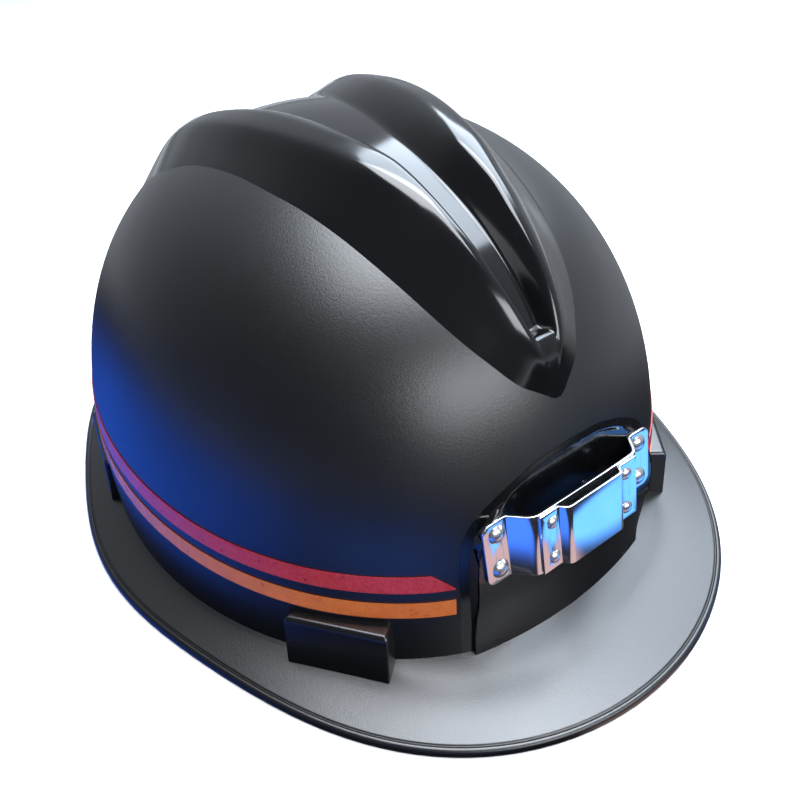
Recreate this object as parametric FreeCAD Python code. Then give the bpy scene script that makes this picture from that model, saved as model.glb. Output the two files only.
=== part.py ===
import FreeCAD, Part
import os
import math
from FreeCAD import Vector as V

# Miner's safety helmet.  Millimetres.  +Z up, the wearer looks along -Y,
# the wearer's right hand is at -X.  The origin is the middle of the plane
# the brim rests on.

os.makedirs("parts", exist_ok=True)

# ------------------------------------------------------------ dimensions
# crown of the shell: superelliptic dome on a half-and-half ellipse
A_SIDE = 105.6        # half width at the foot of the wall
B_FRONT = 121.8       # foot of the wall, in front of the origin
B_REAR = 126.7        # foot of the wall, behind the origin
Z_FOOT = 6.5          # height where the wall meets the brim
H_DOME = 134.0        # dome height above the foot
M_DOME = 2.231
N_DOME = 2.445
WALL = 2.6            # moulded wall
# brim outline, cosine series of the angle from the front
BRIM = [134.67, 3.50, 16.83, 0.93, 2.10, 0.27, -1.14]
BRIM_T = 2.6          # brim thickness at the rim
ROOT_H = 4.6          # height of the outer crease of the front root flare
# front pad that carries the lamp bracket
PAD_Y = 113.2         # distance of the pad plane from the origin at PAD_Z
PAD_Z = 51.05
PAD_TILT = 0.20       # the pad leans back this much per unit of height
PAD_HALF = 39.5
PAD_TOP = 73.3
# lamp bracket
STRAP_T = 1.0         # sheet thickness
STRAP_H = 22.5        # sheet height
STRAP_X = 36.0        # half length of the strap
RIV_X = 30.8          # strap rivets
RIV_DZ = 6.6          # half of their vertical spacing
HAT_Y = 8.0           # how far the hat stands off the flanges
HAT_X = 21.5
PLATE_RIV_X = 16.0
PLATE_T = 0.9
PLATE_X = 20.6
PLATE_STEP = 2.7
# reflective tapes
TAPE_W = 6.4
TAPE_T = 0.30
TAPE_GAP = 0.09
RED_Z0 = 38.8
AMBER_Z0 = 28.0
# key blocks: outer face corner pairs (x, y), wearer's left side
BLOCK_F = ((66.9, -105.1), (88.3, -77.7))
BLOCK_R = ((106.2, 29.2), (98.5, 63.0))
BLOCK_TOP = 26.0
KEY_W = 23.4
KEY_T = 2.2
FACE_D = 4.0          # the key's face stands this far off the wall
FACE_T = 2.2
# headband: front half ellipse and rear half circle about one centre
HB_C = 15.0           # y of that centre
HB_R = 79.9           # inner radius at the back
HB_T = 1.2
HB_FRONT = 114.8      # inner half length in front of the centre
NAPE_Z = 18.0         # height of the ratchet axis
PINION_R = 4.5        # pitch radius, nine teeth of module one
TAIL_R0 = 78.2
TAIL_R1 = 79.4
CROWN_Z = 112.0
# the shapes are drawn about the middle of the crown; the brim's footprint
# reaches further in front of it than behind
Y_SHIFT = 4.70
WEB_W = 19.0
WEB_T = 1.2
WEB_Z0 = 39.2         # foot of a strap, on the end loop round the key's bar
CROSS_Y = -2.0        # the straps cross here on the centre line


# --------------------------------------------------------------- helpers
def save(name, shape):
    if isinstance(shape, (list, tuple)):
        shape = Part.makeCompound(list(shape))
    shape = shape.copy()
    shape.translate(V(0, Y_SHIFT, 0))
    shape.exportStep("parts/%s.step" % name)
    ok = shape.isValid() and min(q.Volume for q in shape.Solids) > 0
    print("%-28s solids %2d  volume %9.1f  valid %s" % (name, len(shape.Solids), shape.Volume, ok))


def ring(a, bf, br, z, n=72):
    pts = []
    for i in range(n):
        t = 2 * math.pi * i / n
        s, c = math.sin(t), math.cos(t)
        b = bf if c > 0 else br
        pts.append(V(a * s, -b * c, z))
    bs = Part.BSplineCurve()
    bs.interpolate(Points=pts, PeriodicFlag=True)
    return Part.Wire([bs.toShape()])


def dome_solid(off, z_low):
    a, bf, br = A_SIDE - off, B_FRONT - off, B_REAR - off
    h = H_DOME - off
    wires = [ring(a, bf, br, z_low), ring(a, bf, br, Z_FOOT)]
    for f in (6, 13, 20, 28, 36, 44, 52, 60, 68, 75, 81, 85.5, 88.3):
        q = math.radians(f)
        u = math.cos(q) ** (2 / M_DOME)
        z = Z_FOOT + h * math.sin(q) ** (2 / N_DOME)
        wires.append(ring(a * u, bf * u, br * u, z))
    return Part.makeLoft(wires, True, False)


def z_dome(x, y, off=0.0):
    b = (B_FRONT if y < 0 else B_REAR) - off
    u = math.hypot(x / (A_SIDE - off), y / b)
    if u >= 1:
        return Z_FOOT
    return Z_FOOT + (H_DOME - off) * (1 - u ** M_DOME) ** (1 / N_DOME)


def u_at(z, off=0.0):
    f = max(0.0, min(1.0, (z - Z_FOOT) / (H_DOME - off)))
    return (1 - f ** N_DOME) ** (1 / M_DOME)


def wall_pt(th, z, off=0.0):
    s, c = math.sin(th), math.cos(th)
    a = A_SIDE - off
    b = (B_FRONT if c > 0 else B_REAR) - off
    r = 1 / math.hypot(s / a, c / b) * u_at(z, off)
    return V(r * s, -r * c, z)


def brim_r(th):
    return sum(k * math.cos(i * th) for i, k in enumerate(BRIM))


def base_r(th):
    s, c = math.sin(th), math.cos(th)
    return 1 / math.hypot(s / A_SIDE, c / (B_FRONT if c > 0 else B_REAR))


def closed_wire(fn, n=72):
    pts = [fn(2 * math.pi * i / n) for i in range(n)]
    bs = Part.BSplineCurve()
    bs.interpolate(Points=pts, PeriodicFlag=True)
    return Part.Wire([bs.toShape()])


def loft(ws, ruled=True):
    # closed loft, turned right side out
    s = Part.makeLoft(ws, True, ruled)
    if s.Volume < 0:
        s.reverse()
    return s


def poly_face(pts):
    return Part.Face(Part.makePolygon(list(pts) + [pts[0]]))


def prism(pts, vec):
    return poly_face(pts).extrude(vec)


def interp(x, xs, ys):
    if x <= xs[0]:
        return ys[0]
    for i in range(1, len(xs)):
        if x <= xs[i]:
            f = (x - xs[i - 1]) / (xs[i] - xs[i - 1])
            return ys[i - 1] + f * (ys[i] - ys[i - 1])
    return ys[-1]


def smooth(f):
    f = max(0.0, min(1.0, f))
    return f * f * (3 - 2 * f)


def mirror_x(s):
    return s.mirror(V(0, 0, 0), V(1, 0, 0))


def sector(r0, r1, p0, p1, z0, z1):
    # sector of a ring about the headband centre; angle 0 is the nape (+Y),
    # growing towards +X
    base = V(0, HB_C, z0)
    out = Part.makeCylinder(r1, z1 - z0, base, V(0, 0, 1), p1 - p0)
    inn = Part.makeCylinder(r0, z1 - z0, base, V(0, 0, 1), 360)
    s = out.cut(inn)
    # makeCylinder starts at +X and turns anticlockwise
    s.rotate(V(0, HB_C, 0), V(0, 0, 1), 90 - p1)
    return s


def box_at(c, t, n, w, d, z0, z1):
    # box centred on c (x, y); width w along t, depth from c inwards is +d
    # along -n when d is positive
    t = V(t[0], t[1], 0)
    n = V(n[0], n[1], 0)
    p = V(c[0], c[1], z0)
    a = p - t * (w / 2)
    b = p + t * (w / 2)
    return prism([a, b, b - n * d, a - n * d], V(0, 0, z1 - z0))


# ----------------------------------------------------------------- shell
# the two ribs of the crown: y stations, foot and crest lines, crest height,
# the shoulder on the side of the V and the foot inside the V
RY = [-103.5, -99, -93, -86, -78, -70, -60, -45, -30, -15, 0, 12, 22, 32, 40, 47, 58, 66, 74, 82, 90]
R_BASE = [3.0, 11.4, 17.0, 21.8, 25.6, 28.4, 31.2, 34.4, 37.2, 39.8, 41.5, 43.0, 44.3, 46.0, 47.8, 49.0, 50.0, 50.3, 50.3, 50.0, 49.0]
R_OUT = [1.0, 5.4, 8.3, 10.0, 11.3, 12.3, 14.2, 19.3, 23.2, 27.0, 30.0, 32.0, 33.2, 34.2, 35.0, 35.5, 37.0, 38.0, 39.0, 39.6, 40.0]
R_IN = [0.0, 3.2, 5.6, 7.2, 8.4, 9.4, 10.6, 11.8, 15.0, 18.0, 20.0, 22.0, 24.0, 26.0, 27.6, 28.8, 30.4, 31.4, 32.2, 32.8, 33.2]
R_MID = [0.0, 2.7, 4.7, 6.1, 7.1, 8.0, 9.0, 9.6, 10.8, 12.5, 14.4, 16.5, 19.0, 21.4, 23.2, 24.6, 26.6, 27.8, 28.6, 29.2, 29.6]
R_MIDH = [0.8, 0.8, 0.8, 0.8, 0.8, 0.8, 0.8, 0.78, 0.70, 0.64, 0.62, 0.62, 0.62, 0.6, 0.6, 0.6, 0.6, 0.6, 0.6, 0.6, 0.6]
R_TOP = [1.2, 7.3, 9.0, 9.6, 9.8, 10.0, 10.5, 10.5, 9.7, 9.0, 8.5, 8.2, 7.9, 7.7, 7.6, 7.4, 6.8, 5.8, 4.2, 2.2, 0.3]
R_FLOOR = [0.0, 0.8, 2.0, 2.6, 2.8, 2.9, 3.1, 3.4, 4.3, 5.8, 8.2, 10.2, 11.6, 13.0, 14.0, 15.0, 16.5, 17.5, 18.5, 19.5, 20.5]


def rib_profile(y, side, lift, sink):
    # closed section of one rib of the V at a given y
    xb = interp(y, RY, R_BASE)
    xo = interp(y, RY, R_OUT)
    xi = interp(y, RY, R_IN)
    xf = interp(y, RY, R_FLOOR)
    ht = interp(y, RY, R_TOP)
    xm = interp(y, RY, R_MID)
    hm = ht * interp(y, RY, R_MIDH)
    dx = min(2.2, 1.3 * (xb - xo) / max(1.0, ht))
    top = [
        (xb + dx, -1.3), (xb * 0.55 + xo * 0.45, ht * 0.42), (xo * 0.86 + xb * 0.14, ht * 0.86),
        (xo, ht), ((xo + xi) / 2, ht), (xi, ht), (xm, hm), (xf - 0.4, -1.3)]
    pts = [V(side * x, y, z_dome(x, y) + h + lift) for x, h in top]
    low = [V(side * x, y, z_dome(x, y) - sink) for x in (xf - 0.4, xi, (xi + xo) / 2, xo, xb + dx)]
    return Part.makePolygon(pts + low + [pts[0]])


def rib_channel(side):
    # the hollow that follows a rib on the inside, so the wall stays even
    ws = []
    for y in (-90, -84, -77, -69, -59, -45, -30, -15, 0, 12, 22, 34, 47, 58, 68):
        xb = interp(y, RY, R_BASE) - 2.6
        xo = interp(y, RY, R_OUT) - 1.2
        xi = interp(y, RY, R_IN) + 1.4
        ht = max(0.6, interp(y, RY, R_TOP) - 2.9)
        if xo < xi + 0.8:
            xo = xi + 0.8
        xf = interp(y, RY, R_FLOOR) + 2.2
        if xf > xi - 0.3:
            xi = xf + 0.3
            xo = max(xo, xi + 0.8)
        top = [(xb, -2.6), (xo, ht), (xi, ht), (xf, -2.6)]
        pts = [V(side * x, y, z_dome(x, y) + h) for x, h in top]
        low = [V(side * x, y, z_dome(x, y) - 4.6) for x in (xf, xb)]
        ws.append(Part.makePolygon(pts + low + [pts[0]]))
    return loft(ws)


def rib(side):
    ws = [rib_profile(y, side, 0.0, 2.1) for y in RY[1:]]
    return loft(ws)


def nose():
    # the two ribs run together into one rounded nose at the front, and the
    # floor of the V climbs up to it
    ws = []
    for y, w, ht in ((-103.2, 3.4, 0.8), (-101.5, 7.0, 5.3), (-99.0, 10.2, 7.2), (-97.0, 10.2, 5.6)):
        top = [V(x * w, y, z_dome(x * w, y) + ht * g) for x, g in ((-1.1, -0.2), (-0.75, 0.45), (-0.5, 0.93), (0, 1), (0.5, 0.93), (0.75, 0.45), (1.1, -0.2))]
        low = [V(x * w, y, z_dome(x * w, y) - 2.1) for x in (1.1, 0, -1.1)]
        ws.append(Part.makePolygon(top + low + [top[0]]))
    front = loft(ws)
    ws = []
    for y in (-98.9, -98.0, -97.0, -96.0, -95.0, -94.0, -93.0, -92.0):
        w = interp(y, RY, R_IN) + 0.5
        h = interp(y, RY, R_TOP) * 0.96 * smooth((-90.5 - y) / 8.5) - 0.05
        top = [V(x * w, y, z_dome(x * w, y) + h) for x in (-1, -0.5, 0, 0.5, 1)]
        low = [V(x * w, y, z_dome(x * w, y) - 2.1) for x in (1, 0, -1)]
        ws.append(Part.makePolygon(top + low + [top[0]]))
    return front.fuse(loft(ws))


def pad_y(x, z):
    w = smooth((45.0 - z) / 40.0)
    return -(PAD_Y - PAD_TILT * (z - PAD_Z)) + w * (1.9 + 5.1 * (x / 38.0) ** 2)


def pad_outline(grow=0.0):
    side = [(39.5, 2.0), (39.5, 30.0), (39.3, 42.0), (38.2, 50.0), (35.8, 57.0), (31.0, 62.3), (24.5, 66.6), (18.0, 69.8), (10.0, 72.4), (0.0, 73.3)]
    pts = [(x + (grow if x > 0 else 0), z + (grow if z > 40 else 0)) for x, z in side]
    pts = pts + [(-x, z) for x, z in reversed(pts[:-1])]
    return [V(x, -140, z) for x, z in pts]


def pad_back(depth):
    # solid behind the pad face, from the brim up
    ws = []
    for z in (2.0, 6.5, 14.0, 22.0, 30.0, 38.0, 46.0, 60.0, 78.0):
        xs = [-44, -30, -15, 0, 15, 30, 44]
        front = [V(x, pad_y(x, z), z) for x in xs]
        back = [V(44, pad_y(44, z) + depth, z), V(0, pad_y(0, z) + depth, z), V(-44, pad_y(-44, z) + depth, z)]
        ws.append(Part.makePolygon(front + back + [front[0]]))
    return loft(ws)


def brim_solid():
    def edge(z):
        return closed_wire(lambda t: V(brim_r(t) * math.sin(t), -brim_r(t) * math.cos(t), z), 90)

    def root(t):
        # outer crease of the flare at the front, dying out at the sides
        k = smooth((math.cos(t) - 0.80) / 0.14)
        r = base_r(t) + 2.0 + 9.2 * k
        return V(r * math.sin(t), -r * math.cos(t), Z_FOOT - 0.9 - (Z_FOOT - 0.9 - ROOT_H) * k)

    def foot(t, d, z):
        r = base_r(t) - d
        return V(r * math.sin(t), -r * math.cos(t), z)

    top = Part.makeLoft([
        closed_wire(lambda t: foot(t, 1.6, Z_FOOT + 0.4), 90),
        closed_wire(root, 90), edge(BRIM_T)], False, True)
    rim = Part.makeLoft([edge(BRIM_T), edge(0.0)], False, True)

    def lip(t):
        r = brim_r(t) - 3.0
        return V(r * math.sin(t), -r * math.cos(t), 0.0)

    flat = Part.Face([edge(0.0), closed_wire(lip, 90)])
    under = Part.makeLoft([closed_wire(lip, 90), closed_wire(lambda t: foot(t, 1.6, 2.2), 90)], False, True)
    inner = Part.makeLoft([closed_wire(lambda t: foot(t, 1.6, 2.2), 90),
                           closed_wire(lambda t: foot(t, 1.6, Z_FOOT + 0.4), 90)], False, True)
    shell = Part.Shell([f for s in (top, rim, flat, under, inner) for f in s.Faces])
    shell.sewShape()
    body = Part.Solid(shell)
    body.fix(1e-5, 1e-6, 1e-4)
    if body.Volume < 0:
        body.reverse()
    return body


def block_frame(block):
    (x0, y0), (x1, y1) = block
    c = ((x0 + x1) / 2, (y0 + y1) / 2)
    L = math.hypot(x1 - x0, y1 - y0)
    t = ((x1 - x0) / L, (y1 - y0) / L)
    n = (t[1], -t[0])
    return c, t, n, L


def block_solid(block):
    c, t, n, L = block_frame(block)
    p = []
    for z, ins, sh in ((3.0, 0.0, 0.0), (8.0, 0.0, 0.0), (BLOCK_TOP - 1.2, 1.9, 0.3), (BLOCK_TOP, 3.1, 1.4)):
        T, N = V(t[0], t[1], 0), V(n[0], n[1], 0)
        o = V(c[0], c[1], z)
        a = o - T * (L / 2 - sh) - N * ins
        b = o + T * (L / 2 - sh) - N * ins
        d = 12.0
        p.append(Part.makePolygon([a, b, b - N * (d - ins), a - N * (d - ins), a]))
    return loft(p)


def inner_gap(block):
    # distance from the block's outer face to the inner face of the wall
    c, t, n, L = block_frame(block)
    d = 0.0
    while d < 20:
        x, y = c[0] - n[0] * d, c[1] - n[1] * d
        b = (B_FRONT if y < 0 else B_REAR) - WALL
        if math.hypot(x / (A_SIDE - WALL), y / b) <= 1:
            return d
        d += 0.05
    return d


def key_pocket(block):
    c, t, n, L = block_frame(block)
    g = inner_gap(block)
    ci = (c[0] - n[0] * g, c[1] - n[1] * g)
    # wide slot in the block, narrow window through the wall, open below
    wide = box_at((ci[0] + n[0] * 3.9, ci[1] + n[1] * 3.9), t, n, KEY_W + 0.6, KEY_T + 0.4, -1, 22.0)
    neck = box_at((ci[0] + n[0] * 2.0, ci[1] + n[1] * 2.0), t, n, 15.0, 6.0, -1, 22.0)
    return [wide, neck]


def shell_solid():
    outer = dome_solid(0.0, 3.0)
    plug = prism(pad_outline(), V(0, 75, 0))
    front = Part.makeBox(120, 60, 100, V(-60, -150, 2))
    back = pad_back(40.0)
    recess = plug.common(front).cut(back)
    outer = outer.cut(recess)
    boss = back.common(plug)
    boss = boss.common(Part.makeBox(100, 34, 100, V(-50, -124, 2.0)))
    outer = outer.fuse(boss)
    outer = outer.fuse(brim_solid())
    for b in (BLOCK_F, BLOCK_R):
        s = block_solid(b)
        outer = outer.fuse([s, mirror_x(s)])
    ribs = rib(1)
    outer = outer.fuse([ribs, mirror_x(ribs), nose()])
    inner = dome_solid(WALL, -2.0)
    ch = rib_channel(1)
    inner = inner.fuse([ch, mirror_x(ch)])
    body = outer.cut(inner)
    # the wall behind the recessed pad is carried inwards
    skin = pad_back(WALL).common(prism(pad_outline(1.8), V(0, 75, 0)))
    skin = skin.common(dome_solid(0.6, 3.0))
    body = body.fuse(skin)
    cuts = []
    for b in (BLOCK_F, BLOCK_R):
        for s in key_pocket(b):
            cuts += [s, mirror_x(s)]
    for sx in (-1, 1):
        for dz in (-RIV_DZ, RIV_DZ):
            cuts.append(pad_cyl(sx * RIV_X, dz, 1.7, 8.0, -5.0))
            # flat seat for the washer
            cuts.append(pad_cyl(sx * RIV_X, dz, 4.5, 9.0, -WALL - 0.05 - 9.0))
    y_in = wall_pt(math.pi, CLIP_Z).y - 3.55
    for sx in (-1, 1):
        cuts.append(Part.makeCylinder(1.7, 14, V(sx * CLIP_X, 118, CLIP_Z), V(0, 1, 0)))
        cuts.append(Part.makeCylinder(4.5, 9.0, V(sx * CLIP_X, y_in - 9.0, CLIP_Z), V(0, 1, 0)))
    body = body.cut(cuts)
    return body


# axis normal to the pad plane, pointing out of the helmet
PAD_N = V(0, -1, PAD_TILT)
PAD_N.normalize()
PAD_U = V(0, PAD_TILT, 1)
PAD_U.normalize()


def pad_pt(x, v, out=0.0):
    # point on the pad: x across, v up along the pad, out of the pad
    return V(x, -PAD_Y, PAD_Z) + PAD_U * v + PAD_N * out


def pad_cyl(x, v, r, length, start):
    return Part.makeCylinder(r, length, pad_pt(x, v, start), PAD_N)


CLIP_X = 9.0
CLIP_Z = 30.0


def strip(path, t, v0, v1):
    # sheet-metal strip: path is the line of the back face seen from above
    # as (x, out), bent upright across the pad, thickness t outwards
    n = len(path)
    outp = []
    for i in range(n):
        if i == 0:
            d = (path[1][0] - path[0][0], path[1][1] - path[0][1])
            k = math.hypot(*d)
            nn = (-d[1] / k, d[0] / k)
            m = 1.0
        elif i == n - 1:
            d = (path[-1][0] - path[-2][0], path[-1][1] - path[-2][1])
            k = math.hypot(*d)
            nn = (-d[1] / k, d[0] / k)
            m = 1.0
        else:
            d0 = (path[i][0] - path[i - 1][0], path[i][1] - path[i - 1][1])
            d1 = (path[i + 1][0] - path[i][0], path[i + 1][1] - path[i][1])
            k0, k1 = math.hypot(*d0), math.hypot(*d1)
            n0 = (-d0[1] / k0, d0[0] / k0)
            n1 = (-d1[1] / k1, d1[0] / k1)
            nn = (n0[0] + n1[0], n0[1] + n1[1])
            k = math.hypot(*nn)
            nn = (nn[0] / k, nn[1] / k)
            m = 1.0 / max(0.5, nn[0] * n0[0] + nn[1] * n0[1])
        outp.append((path[i][0] + nn[0] * t * m, path[i][1] + nn[1] * t * m))
    pts = [pad_pt(x, v0, o) for x, o in path] + [pad_pt(x, v0, o) for x, o in reversed(outp)]
    return prism(pts, PAD_U * (v1 - v0))


def bend(path, radii, k=4):
    # round the inner corners of a path with short chords
    out = [path[0]]
    for i in range(1, len(path) - 1):
        r = radii[i - 1]
        p0, p, p1 = path[i - 1], path[i], path[i + 1]
        d0 = (p0[0] - p[0], p0[1] - p[1])
        d1 = (p1[0] - p[0], p1[1] - p[1])
        l0, l1 = math.hypot(*d0), math.hypot(*d1)
        c = min(r, l0 * 0.45, l1 * 0.45)
        a = (p[0] + d0[0] / l0 * c, p[1] + d0[1] / l0 * c)
        b = (p[0] + d1[0] / l1 * c, p[1] + d1[1] / l1 * c)
        for j in range(k + 1):
            f = j / k
            q0 = (a[0] + (p[0] - a[0]) * f, a[1] + (p[1] - a[1]) * f)
            q1 = (p[0] + (b[0] - p[0]) * f, p[1] + (b[1] - p[1]) * f)
            out.append((q0[0] + (q1[0] - q0[0]) * f, q0[1] + (q1[1] - q0[1]) * f))
    out.append(path[-1])
    return out


def strap():
    half = [(-STRAP_X, 0.05), (-26.6, 0.05), (-HAT_X, HAT_Y - STRAP_T), (HAT_X, HAT_Y - STRAP_T), (26.6, 0.05), (STRAP_X, 0.05)]
    s = strip(bend(half, (0.9, 2.2, 2.2, 0.9)), STRAP_T, -STRAP_H / 2, STRAP_H / 2)
    # rounded outer corners
    for sx in (-1, 1):
        for sv in (-1, 1):
            r = 3.0
            blank = prism([pad_pt(sx * STRAP_X, sv * STRAP_H / 2, -2), pad_pt(sx * (STRAP_X - r), sv * STRAP_H / 2, -2),
                           pad_pt(sx * (STRAP_X - r), sv * (STRAP_H / 2 - r), -2), pad_pt(sx * STRAP_X, sv * (STRAP_H / 2 - r), -2)], PAD_N * 6)
            s = s.cut(blank.cut(pad_cyl(sx * (STRAP_X - r), sv * (STRAP_H / 2 - r), r, 8, -3)))
    for sx in (-1, 1):
        for sv in (-1, 1):
            s = s.cut(pad_cyl(sx * RIV_X, sv * RIV_DZ, 1.7, 6, -2))
            s = s.cut(pad_cyl(sx * PLATE_RIV_X, sv * RIV_DZ, 1.25, 6, HAT_Y - 3))
    return s


def plate():
    o = HAT_Y + 0.05
    half = [(-PLATE_X, o), (-12.8, o), (-11.1, o + PLATE_STEP), (11.1, o + PLATE_STEP), (12.8, o), (PLATE_X, o)]
    s = strip(bend(half, (0.8, 1.1, 1.1, 0.8), 3), PLATE_T, -STRAP_H / 2 + 0.4, STRAP_H / 2 - 0.3)
    for sx in (-1, 1):
        for sv in (-1, 1):
            s = s.cut(pad_cyl(sx * PLATE_RIV_X, sv * RIV_DZ, 1.25, 6, HAT_Y - 3))
    return s


def rivet(x, v, out, r, head_r, head_h, grip, tail_r, tail_h):
    # domed head outside, shank, flat upset tail inside
    body = pad_cyl(x, v, r, grip + 0.4, out - grip)
    c = pad_pt(x, v, out)
    rs = (head_r ** 2 + head_h ** 2) / (2 * head_h)
    ball = Part.makeSphere(rs, c - PAD_N * (rs - head_h))
    keep = Part.makeCylinder(head_r, head_h + 1, c, PAD_N)
    head = ball.common(keep)
    tail = pad_cyl(x, v, tail_r, tail_h, out - grip - tail_h)
    return body.fuse([head, tail]).removeSplitter()


# ----------------------------------------------------------------- tapes
def tape_rise(th):
    return interp(abs(math.degrees(th)), [25, 45, 60, 75, 90, 105, 180], [0, 1.0, 2.0, 3.4, 4.6, 5.0, 5.0])


def tape(side, z0, th0, th1, point):
    # strip that follows the wall; the front end may be cut to a point
    rows = []
    n = 96
    for i in range(n + 1):
        th = th0 + (th1 - th0) * i / n
        rows.append(th)
    quads = []
    ws = []
    for i, th in enumerate(rows):
        zl = z0 + tape_rise(th)
        zh = zl + TAPE_W
        if point and i == 0:
            zh = zl + 0.5
        lo_i = wall_pt(th * side, zl, -TAPE_GAP)
        hi_i = wall_pt(th * side, zh, -TAPE_GAP)
        lo_o = wall_pt(th * side, zl, -TAPE_GAP - TAPE_T)
        hi_o = wall_pt(th * side, zh, -TAPE_GAP - TAPE_T)
        ws.append(Part.makePolygon([lo_i, hi_i, hi_o, lo_o, lo_i]))
        if point and i == 0:
            # the shoulder of the point
            rows[1] = th0 + math.radians(3.4)
            rows[2] = th0 + math.radians(4.2)
    return loft(ws)


# ------------------------------------------------------------ suspension
def key_solid(block, reach):
    c, t, n, L = block_frame(block)
    g = inner_gap(block)
    ci = (c[0] - n[0] * g, c[1] - n[1] * g)

    def at(d):
        return (ci[0] - n[0] * d, ci[1] - n[1] * d)
    foot = box_at(at(-3.7), t, n, KEY_W, KEY_T, 4.6, 21.6)
    neck = box_at(at(-1.6), t, n, 14.4, FACE_D + 1.7, 4.6, 21.6)
    face = box_at(at(FACE_D), t, n, 25.0, FACE_T, 5.0, 38.5)
    slot = box_at(at(FACE_D - 0.4), t, n, WEB_W + 1.4, FACE_T + 0.8, 31.2, 35.4)
    face = face.cut(slot)
    back = FACE_D + FACE_T - 0.2
    arm = box_at(at(back), t, n, 14.0, reach - back, 14.0, 16.4)
    pad = box_at(at(reach - 1.6), t, n, 14.0, 1.6, 11.0, 25.0)
    web = box_at(at(back), t, n, 2.2, reach - 3.0 - back, 16.0, 23.0)
    k = foot.fuse([neck, face, arm, pad, web]).removeSplitter()
    stud = Part.makeCylinder(2.1, 9, V(at(reach - 4)[0], at(reach - 4)[1], 20.7), V(-n[0], -n[1], 0))
    return k.cut(stud), at, t, n


def band_gap(block):
    # distance inwards from the wall's inner face to the headband
    c, t, n, L = block_frame(block)
    g = inner_gap(block)
    x, y = c[0] - n[0] * g, c[1] - n[1] * g
    d = 0.0
    while d < 60:
        px, py = x - n[0] * d, y - n[1] * d
        if py < HB_C:
            f = math.hypot(px / (HB_R + HB_T), (py - HB_C) / (HB_FRONT + HB_T))
        else:
            f = math.hypot(px, py - HB_C) / (HB_R + HB_T)
        if f <= 1:
            return d
        d += 0.02
    return d


def webbing(front, rear, lift):
    # line of a strap from the rear right key over the crown to the front
    # left key; it bends a little in plan to pass over the crown's centre
    (xf, yf), (xr, yr) = front, rear
    b = ((yf - CROSS_Y) / xf - (yr - CROSS_Y) / xr) / (xf - xr)
    a = (yf - CROSS_Y) / xf - b * xf
    pts = []
    N = 20
    for i in range(-N, N + 1):
        q = math.pi / 2 * abs(i) / N
        xk = xf if i > 0 else xr
        x = xk * math.sin(q) ** (2 / 2.15)
        y = CROSS_Y + a * x + b * x * x
        up = lift * smooth((34.0 - math.hypot(x, y - CROSS_Y)) / 18.0)
        z = WEB_Z0 + (CROWN_Z - WEB_Z0) * math.cos(q) ** (2 / 2.1) + up
        pts.append(V(x, y, z))
    return pts


def strap_loft(path, n_rear, n_front):
    ws = []
    for i, p in enumerate(path):
        a = path[max(0, i - 1)]
        b = path[min(len(path) - 1, i + 1)]
        T = b - a
        T.normalize()
        N = V(p.x / 78.0 ** 2, (p.y + 2) / 98.0 ** 2, max(0.0, p.z - 34.0) / 84.0 ** 2)
        if i == 0:
            N = V(n_rear[0], n_rear[1], 0)
            T = V(0, 0, 1)
        if i == len(path) - 1:
            N = V(n_front[0], n_front[1], 0)
            T = V(0, 0, -1)
        W = T.cross(N)
        W.normalize()
        M = W.cross(T)
        M.normalize()
        if M.dot(N) < 0:
            M = M * -1
        h = WEB_W / 2
        w = [p - W * h, p + W * h, p + W * h + M * WEB_T, p - W * h + M * WEB_T]
        ws.append(Part.makePolygon(w + [w[0]]))
    return loft(ws)


def end_loop(at, t, n):
    # the strap end, turned round the key's top bar and sewn down
    i = box_at(at(FACE_D - 0.15), t, n, WEB_W + 2, FACE_T + 0.3, 34.9, 38.8)
    low = box_at(at(FACE_D - 1.25), t, n, WEB_W, FACE_T + 2.5, 33.9, 40.0)
    return low.cut(i)


def half_ellipse_band(a0, b0, a1, b1, z0, z1, th_max):
    # front part of an oval band, about the headband centre, between
    # +-th_max from the front
    n = 40
    inn, out = [], []
    for i in range(n + 1):
        th = math.radians(-th_max + 2 * th_max * i / n)
        inn.append(V(a0 * math.sin(th), HB_C - b0 * math.cos(th), z0))
        out.append(V(a1 * math.sin(th), HB_C - b1 * math.cos(th), z0))
    return prism(inn + list(reversed(out)), V(0, 0, z1 - z0))


def headband():
    fr = half_ellipse_band(HB_R, HB_FRONT, HB_R + HB_T, HB_FRONT + HB_T, 7.0, 37.0, 90)
    # lower towards the temples
    for sx in (-1, 1):
        wedge = prism([V(sx * 60, HB_C + 1, 27.0), V(sx * 60, HB_C + 1, 40.0), V(sx * 60, HB_C - 70, 40.0), V(sx * 60, HB_C - 60, 37.0), V(sx * 60, HB_C - 20, 27.0)], V(sx * 40, 0, 0))
        fr = fr.cut(wedge)
    rear = sector(HB_R, HB_R + HB_T, 56, 90, 9.0, 27.0)
    b = fr.fuse([rear, mirror_x(rear)]).removeSplitter()
    # vent slots over the brow
    for k in (-2, -1, 0, 1, 2):
        th = math.radians(k * 12)
        x = HB_R * math.sin(th)
        y = HB_C - HB_FRONT * math.cos(th)
        s = Part.makeBox(9, 20, 2.6, V(x - 4.5, y - 10, 30.5))
        b = b.cut(s)
    return b


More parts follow.
